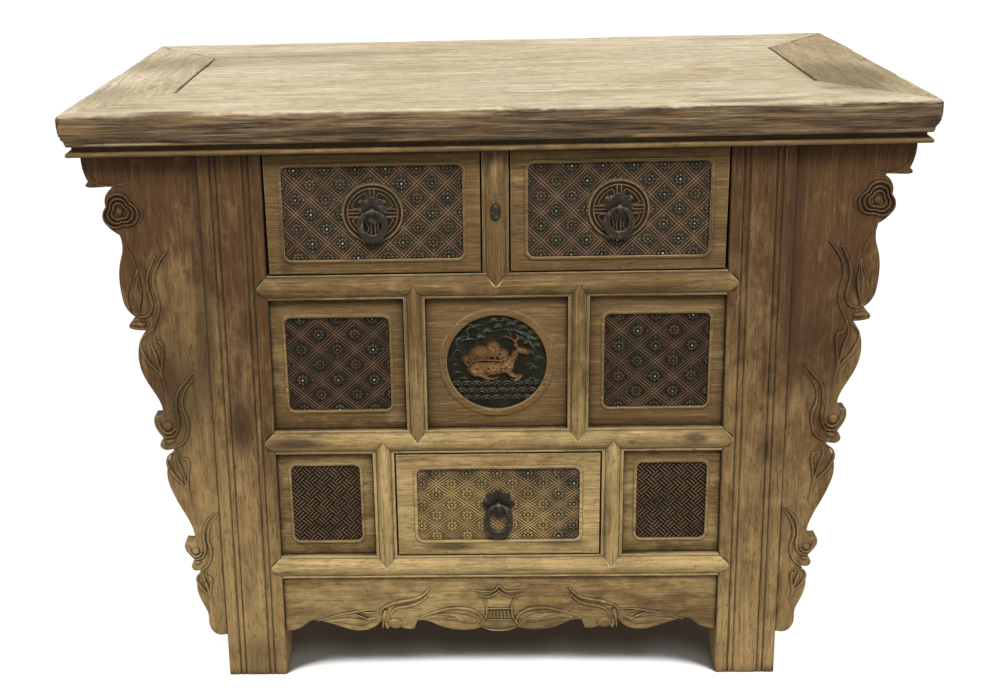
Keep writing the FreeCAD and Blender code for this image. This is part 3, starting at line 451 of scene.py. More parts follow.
# %% Blackened iron
HAMMER_MM = 7.0
SCALE_MM = 1.11
DENT_MM = 0.6
IRON_ARRIS_MM = 1.0
iron, iron_tree = new_material("forged_iron_blackened")
place = add(iron_tree, "TexCoord", out=3)
hammered = add(iron_tree, "TexNoise", {"Vector": place, "Scale": 1 / (HAMMER_MM * MM), "Detail": 3.0})
scale = add(iron_tree, "TexNoise", {"Vector": place, "Scale": 1 / (SCALE_MM * MM), "Detail": 3.0})
rounded = add(iron_tree, "Bevel", {"Radius": IRON_ARRIS_MM * MM}, samples=4)
facing = add(iron_tree, "NewGeometry", out=1)
turned = add(iron_tree, "VectorMath", {0: rounded, 1: facing}, out=1, operation="DOT_PRODUCT")
polished = add(iron_tree, "MapRange", {0: turned, 1: 0.99, 2: 0.85, 3: 0.0, 4: 0.7})
worn = add(iron_tree, "MapRange", {0: hammered, 1: 0.55, 2: 0.68, 3: 0.0, 4: 0.5})
bright = add(iron_tree, "Math", {0: polished, 1: worn}, operation="MAXIMUM")
tint = add(iron_tree, "Mix", {0: bright, 6: linear("#3d3731"), 7: linear("#7d766b")}, out=2,
           data_type="RGBA")
rough = add(iron_tree, "MapRange", {0: bright, 3: 0.52, 4: 0.30})
dented = add(iron_tree, "Math", {0: scale, 1: 0.15, 2: hammered}, operation="MULTIPLY_ADD")
dents = add(iron_tree, "Bump", {"Strength": 0.5, "Distance": DENT_MM * MM, "Height": dented,
                                "Normal": rounded})
shine = add(iron_tree, "BsdfPrincipled", {"Base Color": tint, "Metallic": 1.0, "Roughness": rough,
                                          "Normal": dents})
add(iron_tree, "OutputMaterial", {"Surface": shine})
iron_pieces = [name for name in nodes if "_pull_" in name or name == "stile_stud"]
for name in iron_pieces:
    nodes[name].data.materials.clear()
    nodes[name].data.materials.append(iron)
print("iron pieces:", len(iron_pieces))

# %% [markdown]
# ## Carving the sunk fields
# The drawer fronts and panels are carved in low relief: the ground is chopped back a few
# millimetres, and a lattice of doubled lines and small flowers is left standing. A carver
# would set out the lattice with a scribe and cut every cell alike, so here one flower and
# one set of lines are modelled and then repeated on the lattice. The gouge leaves every
# raised part half round, so a line is a flattened cylinder and a petal a flattened sphere,
# each sunk by half in the ground. What lies outside the field or behind it is cut off.

# %% Tools for low relief
LINE_MM = 2.2
GROOVE_MM = 1.3
OUTER_LINE_MM = 1.7
OUTER_REACH_MM = 5.0
OUTER_LOWER_MM = 0.3
LINE_RISE_SHARE = 0.45
PETAL_REACH_MM = 5.0
LEAF_REACH_SHARE = 0.53
SKIN_FRONT_MM = 0.3
SKIN_BACK_MM = 0.5


def slab(x, z, width, height, front, back):
    """A flat board between two depths."""
    bpy.ops.mesh.primitive_cube_add(size=1.0, location=(x * MM, (front + back) / 2 * MM, z * MM),
                                    scale=(width * MM, (back - front) * MM, height * MM))
    return settle(bpy.context.object)


def bar(x, z, length, width, front, back, upright=False):
    """A half-round bar that lies in the ground of a field."""
    turn = 0.0 if upright else math.radians(90)
    bpy.ops.mesh.primitive_cylinder_add(vertices=12, radius=0.5, depth=1.0, rotation=(0, turn, 0),
                                        location=(x * MM, back * MM, z * MM),
                                        scale=(width * MM, 2 * (back - front) * MM, length * MM))
    return settle(bpy.context.object)


def swelling(x, z, width, tall, height, level, turn=0.0, segments=24, rings=12):
    """A flattened ball, half sunk in the ground, longer one way than the other."""
    bpy.ops.mesh.primitive_uv_sphere_add(segments=segments, ring_count=rings, radius=0.5 * MM,
                                         location=(x * MM, level * MM, z * MM),
                                         rotation=(0, -math.radians(turn), 0),
                                         scale=(width, 2 * height, tall))
    return settle(bpy.context.object)


def lattice(piece, pitch_x, count_x, pitch_z, count_z):
    """Repeat a piece in rows and columns."""
    for count, step in ((count_x, (pitch_x * MM, 0, 0)), (count_z, (0, 0, pitch_z * MM))):
        if count > 1:
            modify(piece, "ARRAY", count=count, use_relative_offset=False,
                   use_constant_offset=True, constant_offset_displace=step)
    return piece


def trim(piece, x, z, width, height):
    """Cut away what lies outside a field."""
    sides = ((x - width / 2, z, -1, 0), (x + width / 2, z, 1, 0),
             (x, z - height / 2, 0, -1), (x, z + height / 2, 0, 1))
    for place_x, place_z, out_x, out_z in sides:
        choose(piece, lambda face: True)
        bpy.ops.mesh.bisect(plane_co=(place_x * MM, 0, place_z * MM), plane_no=(out_x, 0, out_z),
                            clear_outer=True, use_fill=True)
    return pick(piece)


# The length, the width, and the height as a share of the field's rise.
BEAD = (4.6, 4.6, 1.10)
PETAL = (4.6, 3.9, 0.85)
LEAF = (4.2, 2.8, 0.42)


def flower(x, z, pitch_x, pitch_z, front, back):
    """Eight petals round a bead, and a small leaf towards each corner of the cell."""
    rounds = [(0.0, 0.0, BEAD)]
    rounds += [(45 * petal, PETAL_REACH_MM, PETAL) for petal in range(8)]
    rounds += [(90 * leaf, LEAF_REACH_SHARE * (pitch_z if leaf % 2 else pitch_x), LEAF)
               for leaf in range(4)]
    pieces = []
    for degrees, reach, (length, width, share) in rounds:
        turn = math.radians(degrees)
        pieces.append(swelling(x + reach * math.cos(turn), z + reach * math.sin(turn), length, width,
                               share * (back - front), back, degrees, segments=10, rings=6))
    return join(pieces, "flower")


def slanted_lines(x, z, width, height, pitch_x, pitch_z, front, back, crossing):
    """Two raised lines with a finer one on each side, both ways along the diagonals."""
    reach = width / 2 + height / 2 * pitch_x / pitch_z
    count = int(reach // (2 * pitch_x)) + 1
    offset = 0.0 if crossing else pitch_x
    pieces = []
    for way in (-1, 1):
        bars = []
        for side in (-1, 1):
            rise = side * (LINE_MM + GROOVE_MM) / 2
            bars.append(bar(0, rise, 2 * (width + height), LINE_MM, front, back))
            bars.append(bar(0, side * OUTER_REACH_MM, 2 * (width + height), OUTER_LINE_MM,
                            front + OUTER_LOWER_MM, back))
        lines = join(bars, "lines")
        lines.rotation_euler = (0, way * math.atan2(pitch_z, pitch_x), 0)
        lines.location = ((x + offset - 2 * pitch_x * count) * MM, 0, z * MM)
        settle(lines)
        pieces.append(lattice(lines, 2 * pitch_x, 2 * count + 1, 0, 1))
    return pieces


def flowers_between(x, z, width, height, pitch_x, pitch_z, front, back, crossing):
    """Flowers in the middle of the cells that the lines leave."""
    across = int(width / 2 // pitch_x) + 1
    up = int(height / 2 // pitch_z) + 1
    pieces = []
    for start in (0, 1):
        first_x = -across
        first_z = -up + start
        if (first_x + first_z + int(crossing)) % 2:
            first_x += 1
        seed = flower(x + first_x * pitch_x, z + first_z * pitch_z, pitch_x, pitch_z, front, back)
        pieces.append(lattice(seed, 2 * pitch_x, across + 1, 2 * pitch_z, up + 1))
    return pieces


def drop_back(piece, depth):
    """Cut off the unseen back of a relief and close it flat."""
    choose(piece, lambda face: True)
    bpy.ops.mesh.bisect(plane_co=(0, depth * MM, 0), plane_no=(0, 1, 0), clear_outer=True,
                        use_fill=True)
    return pick(piece)


def backed(pattern, x, z, width, height, ground):
    """Join a pattern with the thin skin of ground that it stands on, and cut both off behind."""
    skin = slab(x, z, width, height, ground - SKIN_FRONT_MM, ground + SKIN_BACK_MM)
    return drop_back(join([pattern, skin], pattern.name), ground + SKIN_FRONT_MM)


def finish_relief(piece, body, ground, wear):
    """Rub the high parts down unevenly, shade softly and hang the relief on its body."""
    for vertex in piece.data.vertices:
        rise = ground * MM - vertex.co.y
        if rise > 0:
            vertex.co.y = ground * MM - rise * wear(vertex.co.x / MM, vertex.co.z / MM)
    pick(piece)
    bpy.ops.object.shade_smooth_by_angle(angle=math.radians(50))
    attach(piece, body)
    print(piece.name, triangles(piece), "triangles")
    return piece


# %% Lattice fields on the drawers and side panels
BROAD_WEAR_MM = 34.0
SMALL_WEAR_MM = 9.0
GOUGE_MM = 3.2
RUBBED_MIDDLE_MM = (-52.0, 212.0)
RUBBED_SIZE_MM = (80.0, 52.0)


def uneven(x, z):
    """Wear by hands, mostly between half of the height and all of it."""
    broad = noise.noise((x / BROAD_WEAR_MM, 0.0, z / BROAD_WEAR_MM))
    small = noise.noise((x / SMALL_WEAR_MM, 3.0, z / SMALL_WEAR_MM))
    return min(1.0, 0.82 + 0.32 * broad + 0.28 * small)


def chiselled(x, z):
    """Uneven wear with the marks of a small gouge."""
    return uneven(x, z) * (1.0 + 0.4 * noise.noise((x / GOUGE_MM, 5.0, z / GOUGE_MM)))


def rubbed_low(x, z):
    """The bottom drawer is worn to half its height at its lower left."""
    away = math.hypot((x - RUBBED_MIDDLE_MM[0]) / RUBBED_SIZE_MM[0],
                      (z - RUBBED_MIDDLE_MM[1]) / RUBBED_SIZE_MM[1])
    return max(0.45, uneven(x, z) - 0.5 * max(0.0, 1.0 - away))


def lattice_field(name, body, x, z, width, height, pitch_x, pitch_z, ground, rise, crossing, wear):
    """One sunk field with its lattice of lines and flowers, set out a little off the middle."""
    size = (x + ASTRAY_MM[0], z + ASTRAY_MM[1], width, height, pitch_x, pitch_z)
    lines = slanted_lines(*size, ground - rise * LINE_RISE_SHARE, ground, crossing)
    flowers = flowers_between(*size, ground - rise, ground, crossing)
    pattern = trim(join(lines + flowers, name), x, z, width, height)
    return finish_relief(backed(pattern, x, z, width, height, ground), body, ground, wear)


DRAWER_GROUND = -272.0
PANEL_GROUND = -264.0
DRAWER_RISE_MM = 3.4
PANEL_RISE_MM = 3.6
ASTRAY_MM = (-1.2, -1.5)
# Width, height, pitch across and up, ground, rise, and whether lines cross in the middle.
UPPER_FIELD = (223, 119, 18.9, 18.8, DRAWER_GROUND, DRAWER_RISE_MM, False)
LOWER_FIELD = (214, 104, 20.2, 15.3, DRAWER_GROUND, DRAWER_RISE_MM, True)
MIDDLE_FIELD = (133, 127, 23.2, 20.75, PANEL_GROUND, PANEL_RISE_MM, True)
fields = []
for body, layout, wear in (("left_drawer", UPPER_FIELD, uneven), ("right_drawer", UPPER_FIELD, uneven),
                           ("lower_drawer", LOWER_FIELD, rubbed_low)):
    fields.append(lattice_field(body + "_carving", body, *middle_of(body + "_front"), *layout, wear))
for place in ("middle_left", "middle_right"):
    fields.append(lattice_field(place + "_carving", "case", *middle_of(place + "_panel"), *MIDDLE_FIELD,
                                uneven))

# %% [markdown]
# ## Basket work on the lowest panels
# The two small panels have a much finer pattern of short slanted strokes that pass over and
# under each other like basket work. Three strokes side by side make one tile, and the next
# tile turns them a quarter.

# %% Basket work
TILE_MM = 12.6
STROKE_MM = 2.7
STROKE_RISE_MM = 2.6
STROKE_GAP_MM = 0.8
BASKET_FIELD = (91, 110, PANEL_GROUND)


def basket_field(name, x, z, width, height, ground):
    """Tiles of three strokes, turned by a quarter from tile to tile, set slantwise."""
    pieces = []
    reach = int((width + height) / 2 // TILE_MM) + 1
    for turn in (0, 1):
        strokes = []
        for lane in (-1, 0, 1):
            place = (0, lane * TILE_MM / 3) if turn else (lane * TILE_MM / 3, 0)
            strokes.append(bar(*place, TILE_MM - STROKE_GAP_MM, STROKE_MM, ground - STROKE_RISE_MM, ground,
                               upright=not turn))
        tile = join(strokes, "tile")
        tile.location = ((turn - reach) * TILE_MM * MM, 0, -reach * TILE_MM * MM)
        settle(tile)
        lattice(tile, 2 * TILE_MM, reach + 1, 0, 1)
        pieces.append(tile)
        pick(tile)
        bpy.ops.object.duplicate()
        shifted = bpy.context.object
        shifted.location = ((1 if turn == 0 else -1) * TILE_MM * MM, 0, TILE_MM * MM)
        pieces.append(settle(shifted))
    weave = lattice(join(pieces, name), 0, 1, 2 * TILE_MM, reach + 1)
    weave.rotation_euler = (0, math.radians(45), 0)
    weave.location = (x * MM, 0, z * MM)
    pattern = trim(settle(weave), x, z, width, height)
    return finish_relief(backed(pattern, x, z, width, height, ground), "case", ground, uneven)


for place in ("lower_left", "lower_right"):
    fields.append(basket_field(place + "_carving", *middle_of(place + "_panel"), *BASKET_FIELD))

# %% [markdown]
# ## Scrolls on the brackets and the apron
# The wing brackets are a fashion of kang furniture: a cloud head under the top, then leaves
# that hang from doubled stems, each with a curl and a bud. The carver draws the stems with a
# gouge that enters shallow, deepens and leaves shallow again, so every raised line here
# swells and tapers. A line is a curve with a round section that is flattened to the wanted
# height, and its lower half lies in the board.

# %% Raised lines, leaves and rounded bosses
CUT_DEEPER = 1.5


def ridge(points, widths, height, level, closed=False):
    """A raised line through points of the face, swelling from its first width to its last."""
    curve = bpy.data.curves.new("raised_line", "CURVE")
    curve.dimensions = "3D"
    curve.bevel_depth = MM
    curve.bevel_resolution = 2
    curve.resolution_u = 6
    curve.use_fill_caps = not closed
    spline = curve.splines.new("BEZIER")
    spline.bezier_points.add(len(points) - 1)
    spline.use_cyclic_u = closed
    start, middle, end = widths
    for index, (spot, (x, z)) in enumerate(zip(spline.bezier_points, points)):
        share = 2 * index / (len(points) - 1)
        width = (start + (middle - start) * share if share < 1 else
                 middle + (end - middle) * (share - 1))
        spot.co = (x * MM, 0, z * MM)
        spot.handle_left_type = "AUTO"
        spot.handle_right_type = "AUTO"
        spot.radius = width / 2
    piece = bpy.data.objects.new("raised_line", curve)
    bpy.context.collection.objects.link(piece)
    pick(piece)
    bpy.ops.object.convert(target="MESH")
    piece = bpy.context.object
    piece.scale.y = 2 * CUT_DEEPER * height / max(widths)
    piece.location.y = level * MM
    return settle(piece)


def boss(x, z, width, tall, height, level, turn=0.0):
    """A rounded swelling, cut as deep as the raised lines."""
    return swelling(x, z, width, tall, CUT_DEEPER * height, level, turn)


def arc(x, z, radius, start, end, steps=8):
    """Points along part of a circle."""
    angles = [math.radians(start + (end - start) * step / steps) for step in range(steps + 1)]
    return [(x + radius * math.cos(a), z + radius * math.sin(a)) for a in angles]


def mirrored(piece, name):
    """The same carving for the other hand."""
    pick(piece)
    bpy.ops.object.duplicate()
    twin = bpy.context.object
    twin.name = name
    twin.scale.x = -1
    settle(twin)
    bpy.ops.object.mode_set(mode="EDIT")
    bpy.ops.mesh.select_all(action="SELECT")
    bpy.ops.mesh.normals_make_consistent(inside=False)
    return pick(twin)


def lobed(x, z, size, lobes, turn, depth=0.28):
    """A closed outline of round lobes with cusps between them."""
    points = []
    for step in range(lobes * 10):
        angle = math.tau * step / (lobes * 10)
        swell = abs(math.cos(lobes / 2 * (angle - math.radians(turn))))
        radius = size * (1 - depth + depth * swell)
        points.append((x + radius * math.cos(angle), z + radius * math.sin(angle)))
    return points


# %% Cloud head, leaves and stems of a bracket
WING_FACE = -272.0
STEM = (2.0, 5.2, 3.0)
VEIN = (1.0, 2.8, 1.0)
FAN_VEIN = (1.2, 5.2, 1.0)
CRESCENT = ((-0.85, 1.0), (-0.62, -0.1), (0.1, -0.62), (0.9, -0.1))
cloud = [ridge(lobed(-467.5, 664.0, size, 3, 100), (3.4, 3.4, 3.4), 2.0, WING_FACE, closed=True)
         for size in (23.0, 17.0, 11.2)]
cloud.append(boss(-467.5, 664.0, 9, 11, 2.6, WING_FACE, 20))
cloud.append(ridge([(-452, 681), (-446, 672), (-440, 664), (-440, 656), (-444, 648)], VEIN, 1.4,
                   WING_FACE))
hanging_leaf = [
    ridge([(-453, 589), (-455, 571), (-458, 553), (-459, 539), (-459, 528)], (1, 19, 9), 2.4,
          WING_FACE),
    ridge([(-455, 580), (-462, 562), (-464, 545), (-461, 532)], VEIN, 1.2, WING_FACE - 1.7),
    ridge([(-453, 580), (-456, 560), (-457, 545)], VEIN, 1.2, WING_FACE - 2.1),
    ridge([(-452, 580), (-450, 562), (-452, 546), (-455, 534)], VEIN, 1.2, WING_FACE - 1.7),
    ridge([(-454, 588), (-456, 602), (-463, 617), (-469, 630)], VEIN, 1.2, WING_FACE),
    ridge([(-468, 515), (-459, 516), (-449, 515)], (1, 7, 5), 2.2, WING_FACE),
]
upper_stems = [
    ridge([(-467, 535), (-456, 526), (-446, 526.5), (-439, 535), (-438, 546), (-441, 561), (-441, 575),
           (-436, 590), (-428, 607)], STEM, 2.2, WING_FACE),
    ridge([(-441, 505), (-434, 520), (-429, 536), (-430, 551), (-433, 566), (-432, 581), (-427, 593),
           (-419, 605), (-412, 613)], STEM, 2.2, WING_FACE),
]


def fan(x, z, height, spread):
    """Three long veins that part below a joint and meet again at the point of the leaf."""
    pieces = []
    for out, bow in ((-0.62, 1.0), (0.1, 0.9), (0.55, 0.45)):
        points = [(x, z), (x + spread * (out - 0.25), z - height * 0.18),
                  (x + spread * out, z - height * 0.42 * bow), (x + spread * 0.45, z - height * 0.72),
                  (x + spread * 0.72, z - height)]
        pieces.append(ridge(points, FAN_VEIN, 1.9, WING_FACE))
    return pieces


def curl(x, z, size):
    """A crescent that rolls round a small bud."""
    crescent = [(x + across * size, z + up * size) for across, up in CRESCENT]
    return [ridge(crescent, (2.0, 6.0, 2.4), 2.4, WING_FACE),
            boss(x, z + 0.15 * size, size, size, 2.2, WING_FACE),
            boss(x + 0.15 * size, z - 1.5 * size, 1.1 * size, 0.5 * size, 2.0, WING_FACE, 12)]


middle_stems = [
    ridge([(-389, 452), (-403, 436), (-414, 422), (-418, 401), (-417, 380), (-419, 368), (-424, 360),
           (-435, 358)], STEM, 2.2, WING_FACE),
    ridge([(-388, 444), (-406, 422), (-410, 401), (-405, 383), (-405.5, 366), (-411, 352), (-422, 344)],
          STEM, 2.2, WING_FACE),
]
lower_stems = [
    ridge([(-380, 247), (-392, 231), (-396.4, 211), (-395, 196), (-399, 183), (-411, 177)],
          STEM, 2.2, WING_FACE),
    ridge([(-375, 247), (-387, 228), (-391, 208), (-388, 191), (-393, 171), (-403, 161)],
          STEM, 2.2, WING_FACE),
]
leaves = fan(-441, 508, 92, 18) + fan(-420, 342, 84, 18) + fan(-399, 161, 56, 12)
curls = curl(-432, 372, 13) + curl(-409, 189, 10)
foot_line = [ridge([(-507, 727), (-500, 706), (-486, 698), (-455, 700)], VEIN, 1.2, WING_FACE)]
left_scroll = join(cloud + hanging_leaf + upper_stems + leaves + middle_stems + lower_stems + curls
                   + foot_line, "left_wing_scroll")
right_scroll = mirrored(left_scroll, "right_wing_scroll")

# %% Scroll of the apron
APRON_FACE = -269.0
half = [
    ridge([(-250, 80), (-228, 87.5), (-204, 93), (-178, 97), (-162, 97)], VEIN, 1.4, APRON_FACE),
    ridge([(-236, 80), (-208, 80), (-188, 78), (-170, 84)], (1, 15, 5), 1.7, APRON_FACE),
    ridge([(-197, 91), (-188, 87), (-178, 81)], VEIN, 1.3, APRON_FACE - 1.2),
    ridge([(-191, 96), (-180, 93), (-169, 94)], VEIN, 1.3, APRON_FACE - 0.6),
    ridge([(-164, 88), (-160, 98), (-152, 104), (-133, 110), (-114, 114), (-102, 121), (-94, 130)], STEM,
          1.9, APRON_FACE),
    ridge([(-150, 84), (-147, 93), (-140, 99.5), (-124, 103), (-107, 109.5), (-97, 119)], STEM, 1.9,
          APRON_FACE),
    ridge([(-155, 97), (-158, 84), (-160, 68)], (6, 5, 1), 2.0, APRON_FACE),
    boss(-143, 76, 20, 15, 1.8, APRON_FACE, -10),
    ridge([(-115, 83), (-86, 93.5), (-59, 99), (-36, 95), (-24, 84), (-23, 76)], STEM, 1.7, APRON_FACE),
    ridge([(-100, 84), (-72, 86), (-46, 82), (-32, 78)], (1, 17, 8), 1.6, APRON_FACE),
    ridge([(-84, 90), (-63, 88), (-50, 78)], VEIN, 1.2, APRON_FACE - 1.2),
    ridge([(-39, 127), (-21, 125), (-7, 126), (0, 134)], (1.0, 3.0, 2.6), 2.0, APRON_FACE),
    ridge([(-29, 120), (-17, 116.5), (-6, 120.5), (0, 127)], (1.0, 2.8, 2.4), 2.0, APRON_FACE),
    ridge([(-31, 122), (-21, 113), (-17, 97), (-22, 78), (-28, 72)], (1.2, 3.4, 1.6), 2.0, APRON_FACE),
    ridge([(-24, 70), (-12, 65.5), (0, 64.5)], (1.0, 2.4, 2.4), 1.6, APRON_FACE),
]
for flute in range(3):
    x = -2.4 - 4.8 * flute
    half.append(ridge([(x, 84.5), (x, 90), (x, 95.5)], (2.4, 2.4, 2.4), 1.6, APRON_FACE))
for z in (81, 98.5):
    half.append(ridge([(-16.5, z), (-8, z), (0, z)], (2.0, 2.0, 2.0), 1.5, APRON_FACE))
apron_left = join(half, "apron_scroll")
apron_scroll = join([apron_left, mirrored(apron_left, "apron_right")], "apron_scroll")
for scroll in (left_scroll, right_scroll, apron_scroll):
    pick(scroll)
    bpy.ops.object.shade_smooth()
    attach(scroll, "case")
    print(scroll.name, triangles(scroll), "triangles")

# %% [markdown]
# ## The roundels behind the pulls
# Each upper drawer has a disc left standing in the lattice. Two rings edge it, three lines
# run in from each side and two from above and below, and a small fan fills every quarter.
# The iron plate covers the middle.

# %% Roundels
ROUNDEL_FACE = -275.0
ROUNDEL_RADIUS_MM = 38.6
RINGS_MM = ((36.6, 3.6), (31.2, 2.2))
SPOKE_REACHES_MM = (12, 22, 31)
SPOKE = (2.4, 2.4, 2.4)


def round_board(x, z, radius, front, back):
    """A thin round board between two depths."""
    bpy.ops.mesh.primitive_cylinder_add(vertices=64, radius=radius * MM, depth=(back - front) * MM,
                                        location=(x * MM, (front + back) / 2 * MM, z * MM),
                                        rotation=(math.radians(90), 0, 0))
    return settle(bpy.context.object)


def roundel(name, body, x, z):
    """Rings, spokes and quarter fans on one disc."""
    pieces = [round_board(x, z, ROUNDEL_RADIUS_MM, ROUNDEL_FACE - 0.2, ROUNDEL_FACE + 0.6)]
    for radius, width in RINGS_MM:
        ring = arc(x, z, radius, 0, 345, 23)
        pieces.append(ridge(ring, (width, width, width), 1.0, ROUNDEL_FACE, closed=True))
    for side in (-1, 1):
        for offset in (-4.6, 0.0, 4.6):
            line = [(x + side * reach, z + offset) for reach in SPOKE_REACHES_MM]
            pieces.append(ridge(line, SPOKE, 0.9, ROUNDEL_FACE))
        for offset in (-2.6, 2.6):
            line = [(x + offset, z + side * reach) for reach in SPOKE_REACHES_MM]
            pieces.append(ridge(line, SPOKE, 0.9, ROUNDEL_FACE))
    for quarter in range(4):
        start = 90 * quarter
        corner = arc(x, z, 26.5, start + 19, start + 72) + arc(x, z, 15.0, start + 60, start + 30, 3)
        pieces.append(ridge(corner, (2.0, 2.0, 2.0), 0.9, ROUNDEL_FACE, closed=True))
        turn = math.radians(start + 45)
        pieces.append(boss(x + 21 * math.cos(turn), z + 21 * math.sin(turn), 8, 4.5, 0.9, ROUNDEL_FACE,
                           start - 45))
    piece = join(pieces, name)
    return finish_relief(piece, body, ROUNDEL_FACE, lambda px, pz: 1.0)


roundels = [roundel(side + "_roundel_carving", side + "_drawer", *middle_of(side + "_drawer_front"))
            for side in ("left", "right")]

# %% [markdown]
# ## The deer in the medallion
# A deer lies before a rock under a pine, with clouds at its back and waves below. Deer, pine
# and rock all stand for a long life. The scene is built as a carver thinks of it, in layers
# of rounded masses, and then fused so that they run into one another.

# %% Medallion
MEDAL_X, MEDAL_Z = middle_of("medallion_panel")
MEDAL_RADIUS_MM = 64.5
DISC_PROUD_MM = 0.3
DISC_SUNK_MM = 0.9
DISC_BACK_MM = 2.1
SKIN_MM = 0.7


def at(points):
    """Points measured from the medallion's middle."""
    return [(MEDAL_X + x, MEDAL_Z + z) for x, z in points]


def mass(x, z, width, tall, height, turn=0.0):
    """A rounded mass of the medallion."""
    return boss(MEDAL_X + x, MEDAL_Z + z, width, tall, height, PANEL_GROUND, turn)


def cut(points, widths, height=2.6):
    """A raised line of the medallion."""
    return ridge(at(points), widths, height, PANEL_GROUND)


deer = [
    mass(-9, -9, 50, 20, 4.6, 3), mass(-25, -10, 22, 21, 5.0), mass(13, -7, 19, 19, 5.0),
    cut([(12, -6), (20, 3), (25, 14)], (15, 11, 8), 4.8), mass(32, 15, 17, 8.5, 4.8, -14),
    mass(24, 22, 8, 3.5, 4.2, 130),
    cut([(27, 18), (24, 27), (16, 33), (8, 35)], (2.6, 2.4, 1.2), 4.0),
    cut([(24, 26), (27, 33), (24, 39)], (2.2, 2.0, 1.0), 3.8),
    cut([(17, 32), (18, 38), (14, 42)], (2.0, 1.8, 1.0), 3.8),
    cut([(14, -13), (24, -20), (33, -19)], (7, 5, 2.6), 4.4),
    cut([(32, -19), (26, -24), (18, -24)], (3, 4, 2), 4.2),
    cut([(-22, -16), (-10, -23), (2, -22)], (8, 5, 2.6), 4.6),
    cut([(-36, -5), (-41, 0), (-42, 6)], (4, 3, 1.4), 3.6),
]
rock = [mass(-20, 12, 30, 20, 3.2), mass(-4, 17, 20, 24, 3.4, 12), mass(8, 9, 16, 18, 3.0),
        mass(-36, 4, 20, 12, 2.6)]
rock += [cut([(-30 + x, 18 + 3 * (i % 2)), (-26 + x, 10), (-29 + x, 3)], (1, 2.6, 1), 4.0)
         for i, x in enumerate((0, 9, 18, 27))]
for x, z, size, start, end in ((-25, -10, 12, 60, 200), (-25, -10, 8, 60, 190), (13, -7, 10, 80, 230),
                               (13, -7, 6.5, 80, 220)):
    deer.append(cut(arc(x, z, size, start, end), (0.9, 1.8, 0.9), 4.4))
deer += [cut([(-32, 1), (-14, 3), (8, 3), (19, 8)], (1, 2.4, 1.2), 4.6),
         cut([(16, 4), (22, 12), (27, 16)], (1, 2, 1), 5.0)]
deer += [cut([(-14 + x, -2), (-10 + x, -8), (-13 + x, -15)], (0.8, 1.6, 0.8), 4.2)
         for x in (0, 6, 12, 18)]
rock += [cut([(-44 + 7.5 * i, 9 + 3 * (i % 3)), (-40 + 7.5 * i, 3 + 4 * (i % 2)), (-42 + 7.5 * i, -2)],
             (0.8, 2.0, 0.8), 3.4) for i in range(7)]
tree = [cut([(50, 30), (36, 37), (22, 43), (4, 43), (-10, 38)], (6, 4.5, 1.6), 3.2),
        cut([(40, 34), (46, 20), (56, 8)], (4, 3, 1.4), 3.0)]
NEEDLES_MM = 7.5
for x, z in ((-12, 41), (2, 47), (18, 50), (34, 45), (46, 38), (51, 20), (40, 25), (54, 3), (-3, 55),
             (11, 56), (27, 54), (56, 31), (43, 10), (47, -10), (-20, 33), (30, 30)):
    for turn in range(10, 190, 34):
        way = Vector((math.cos(math.radians(turn)), math.sin(math.radians(turn)))) * NEEDLES_MM
        needle = [(x + way.x * share, z + way.y * share) for share in (0.0, 0.5, 1.0)]
        tree.append(cut(needle, (1.4, 2.6, 1.0), 2.6))
clouds = [cut(lobed(x, z, size, 3, turn)[:24], (1.2, 2.4, 1.2), 2.2)
          for x, z, size, turn in ((-42, 26, 10, 60), (-30, 40, 9, 20), (-50, 10, 7, 90))]
clouds += [cut([(x, z), (x + 7, z + 3), (x + 14, z)], (1, 2.8, 1))
           for x, z in ((-60, -6), (-58, -16), (-50, -24), (36, -6), (38, -26), (-55, 30), (-40, 48),
                        (-24, 58))]
clouds += [cut([(-24, 30), (-38, 32), (-52, 24)], (1, 2.4, 1)),
           cut([(-14, 50), (-26, 50), (-38, 44)], (1, 2.4, 1))]
waves = []
for row in range(3):
    for step in range(-4, 5):
        x = 13 * step + 6.5 * (row % 2)
        z = -33 - 10 * row
        if math.hypot(x, z) < MEDAL_RADIUS_MM + 4:
            for radius in (6.8, 3.6):
                waves.append(cut(arc(x, z, radius, 8, 172), (1.6, 2.4, 1.6)))
pick(*deer, *rock)
bpy.ops.object.duplicate()
bare_shape = join(bpy.context.selected_objects, "bare_shape")
bare_tree = BVHTree.FromObject(bare_shape, bpy.context.evaluated_depsgraph_get())
bpy.data.objects.remove(bare_shape)
disc = round_board(MEDAL_X, MEDAL_Z, MEDAL_RADIUS_MM, PANEL_GROUND - DISC_PROUD_MM,
                   PANEL_GROUND + DISC_BACK_MM)
medallion = join([disc] + deer + rock + tree + clouds + waves, "medallion_carving")
modify(medallion, "REMESH", mode="VOXEL", voxel_size=SKIN_MM * MM)
modify(medallion, "SMOOTH", factor=0.5, iterations=1)
drop_back(medallion, PANEL_GROUND + DISC_SUNK_MM)
bare = medallion.data.attributes.new("bare_wood", "FLOAT", "POINT")
for index, vertex in enumerate(medallion.data.vertices):
    gap = bare_tree.find_nearest(vertex.co)[3] / MM
    bare.data[index].value = max(0.0, min(1.0, 1.5 - gap))
finish_relief(medallion, "case", PANEL_GROUND, chiselled)

# %% [markdown]
# ## A top worn by use
# The top has lived through two centuries of hands, pots and scrubbing. Soft spring wood is
# gone from between the hard rings, so the boards are furrowed along the grain, the arrises
# are rounded and chipped, and the corners are blunt. Each board is copied from the CAD, its
# skin is rebuilt in small even faces, and every point moves inward only: first into the
# furrows, then behind a rounded arris whose size wanders along the edge.

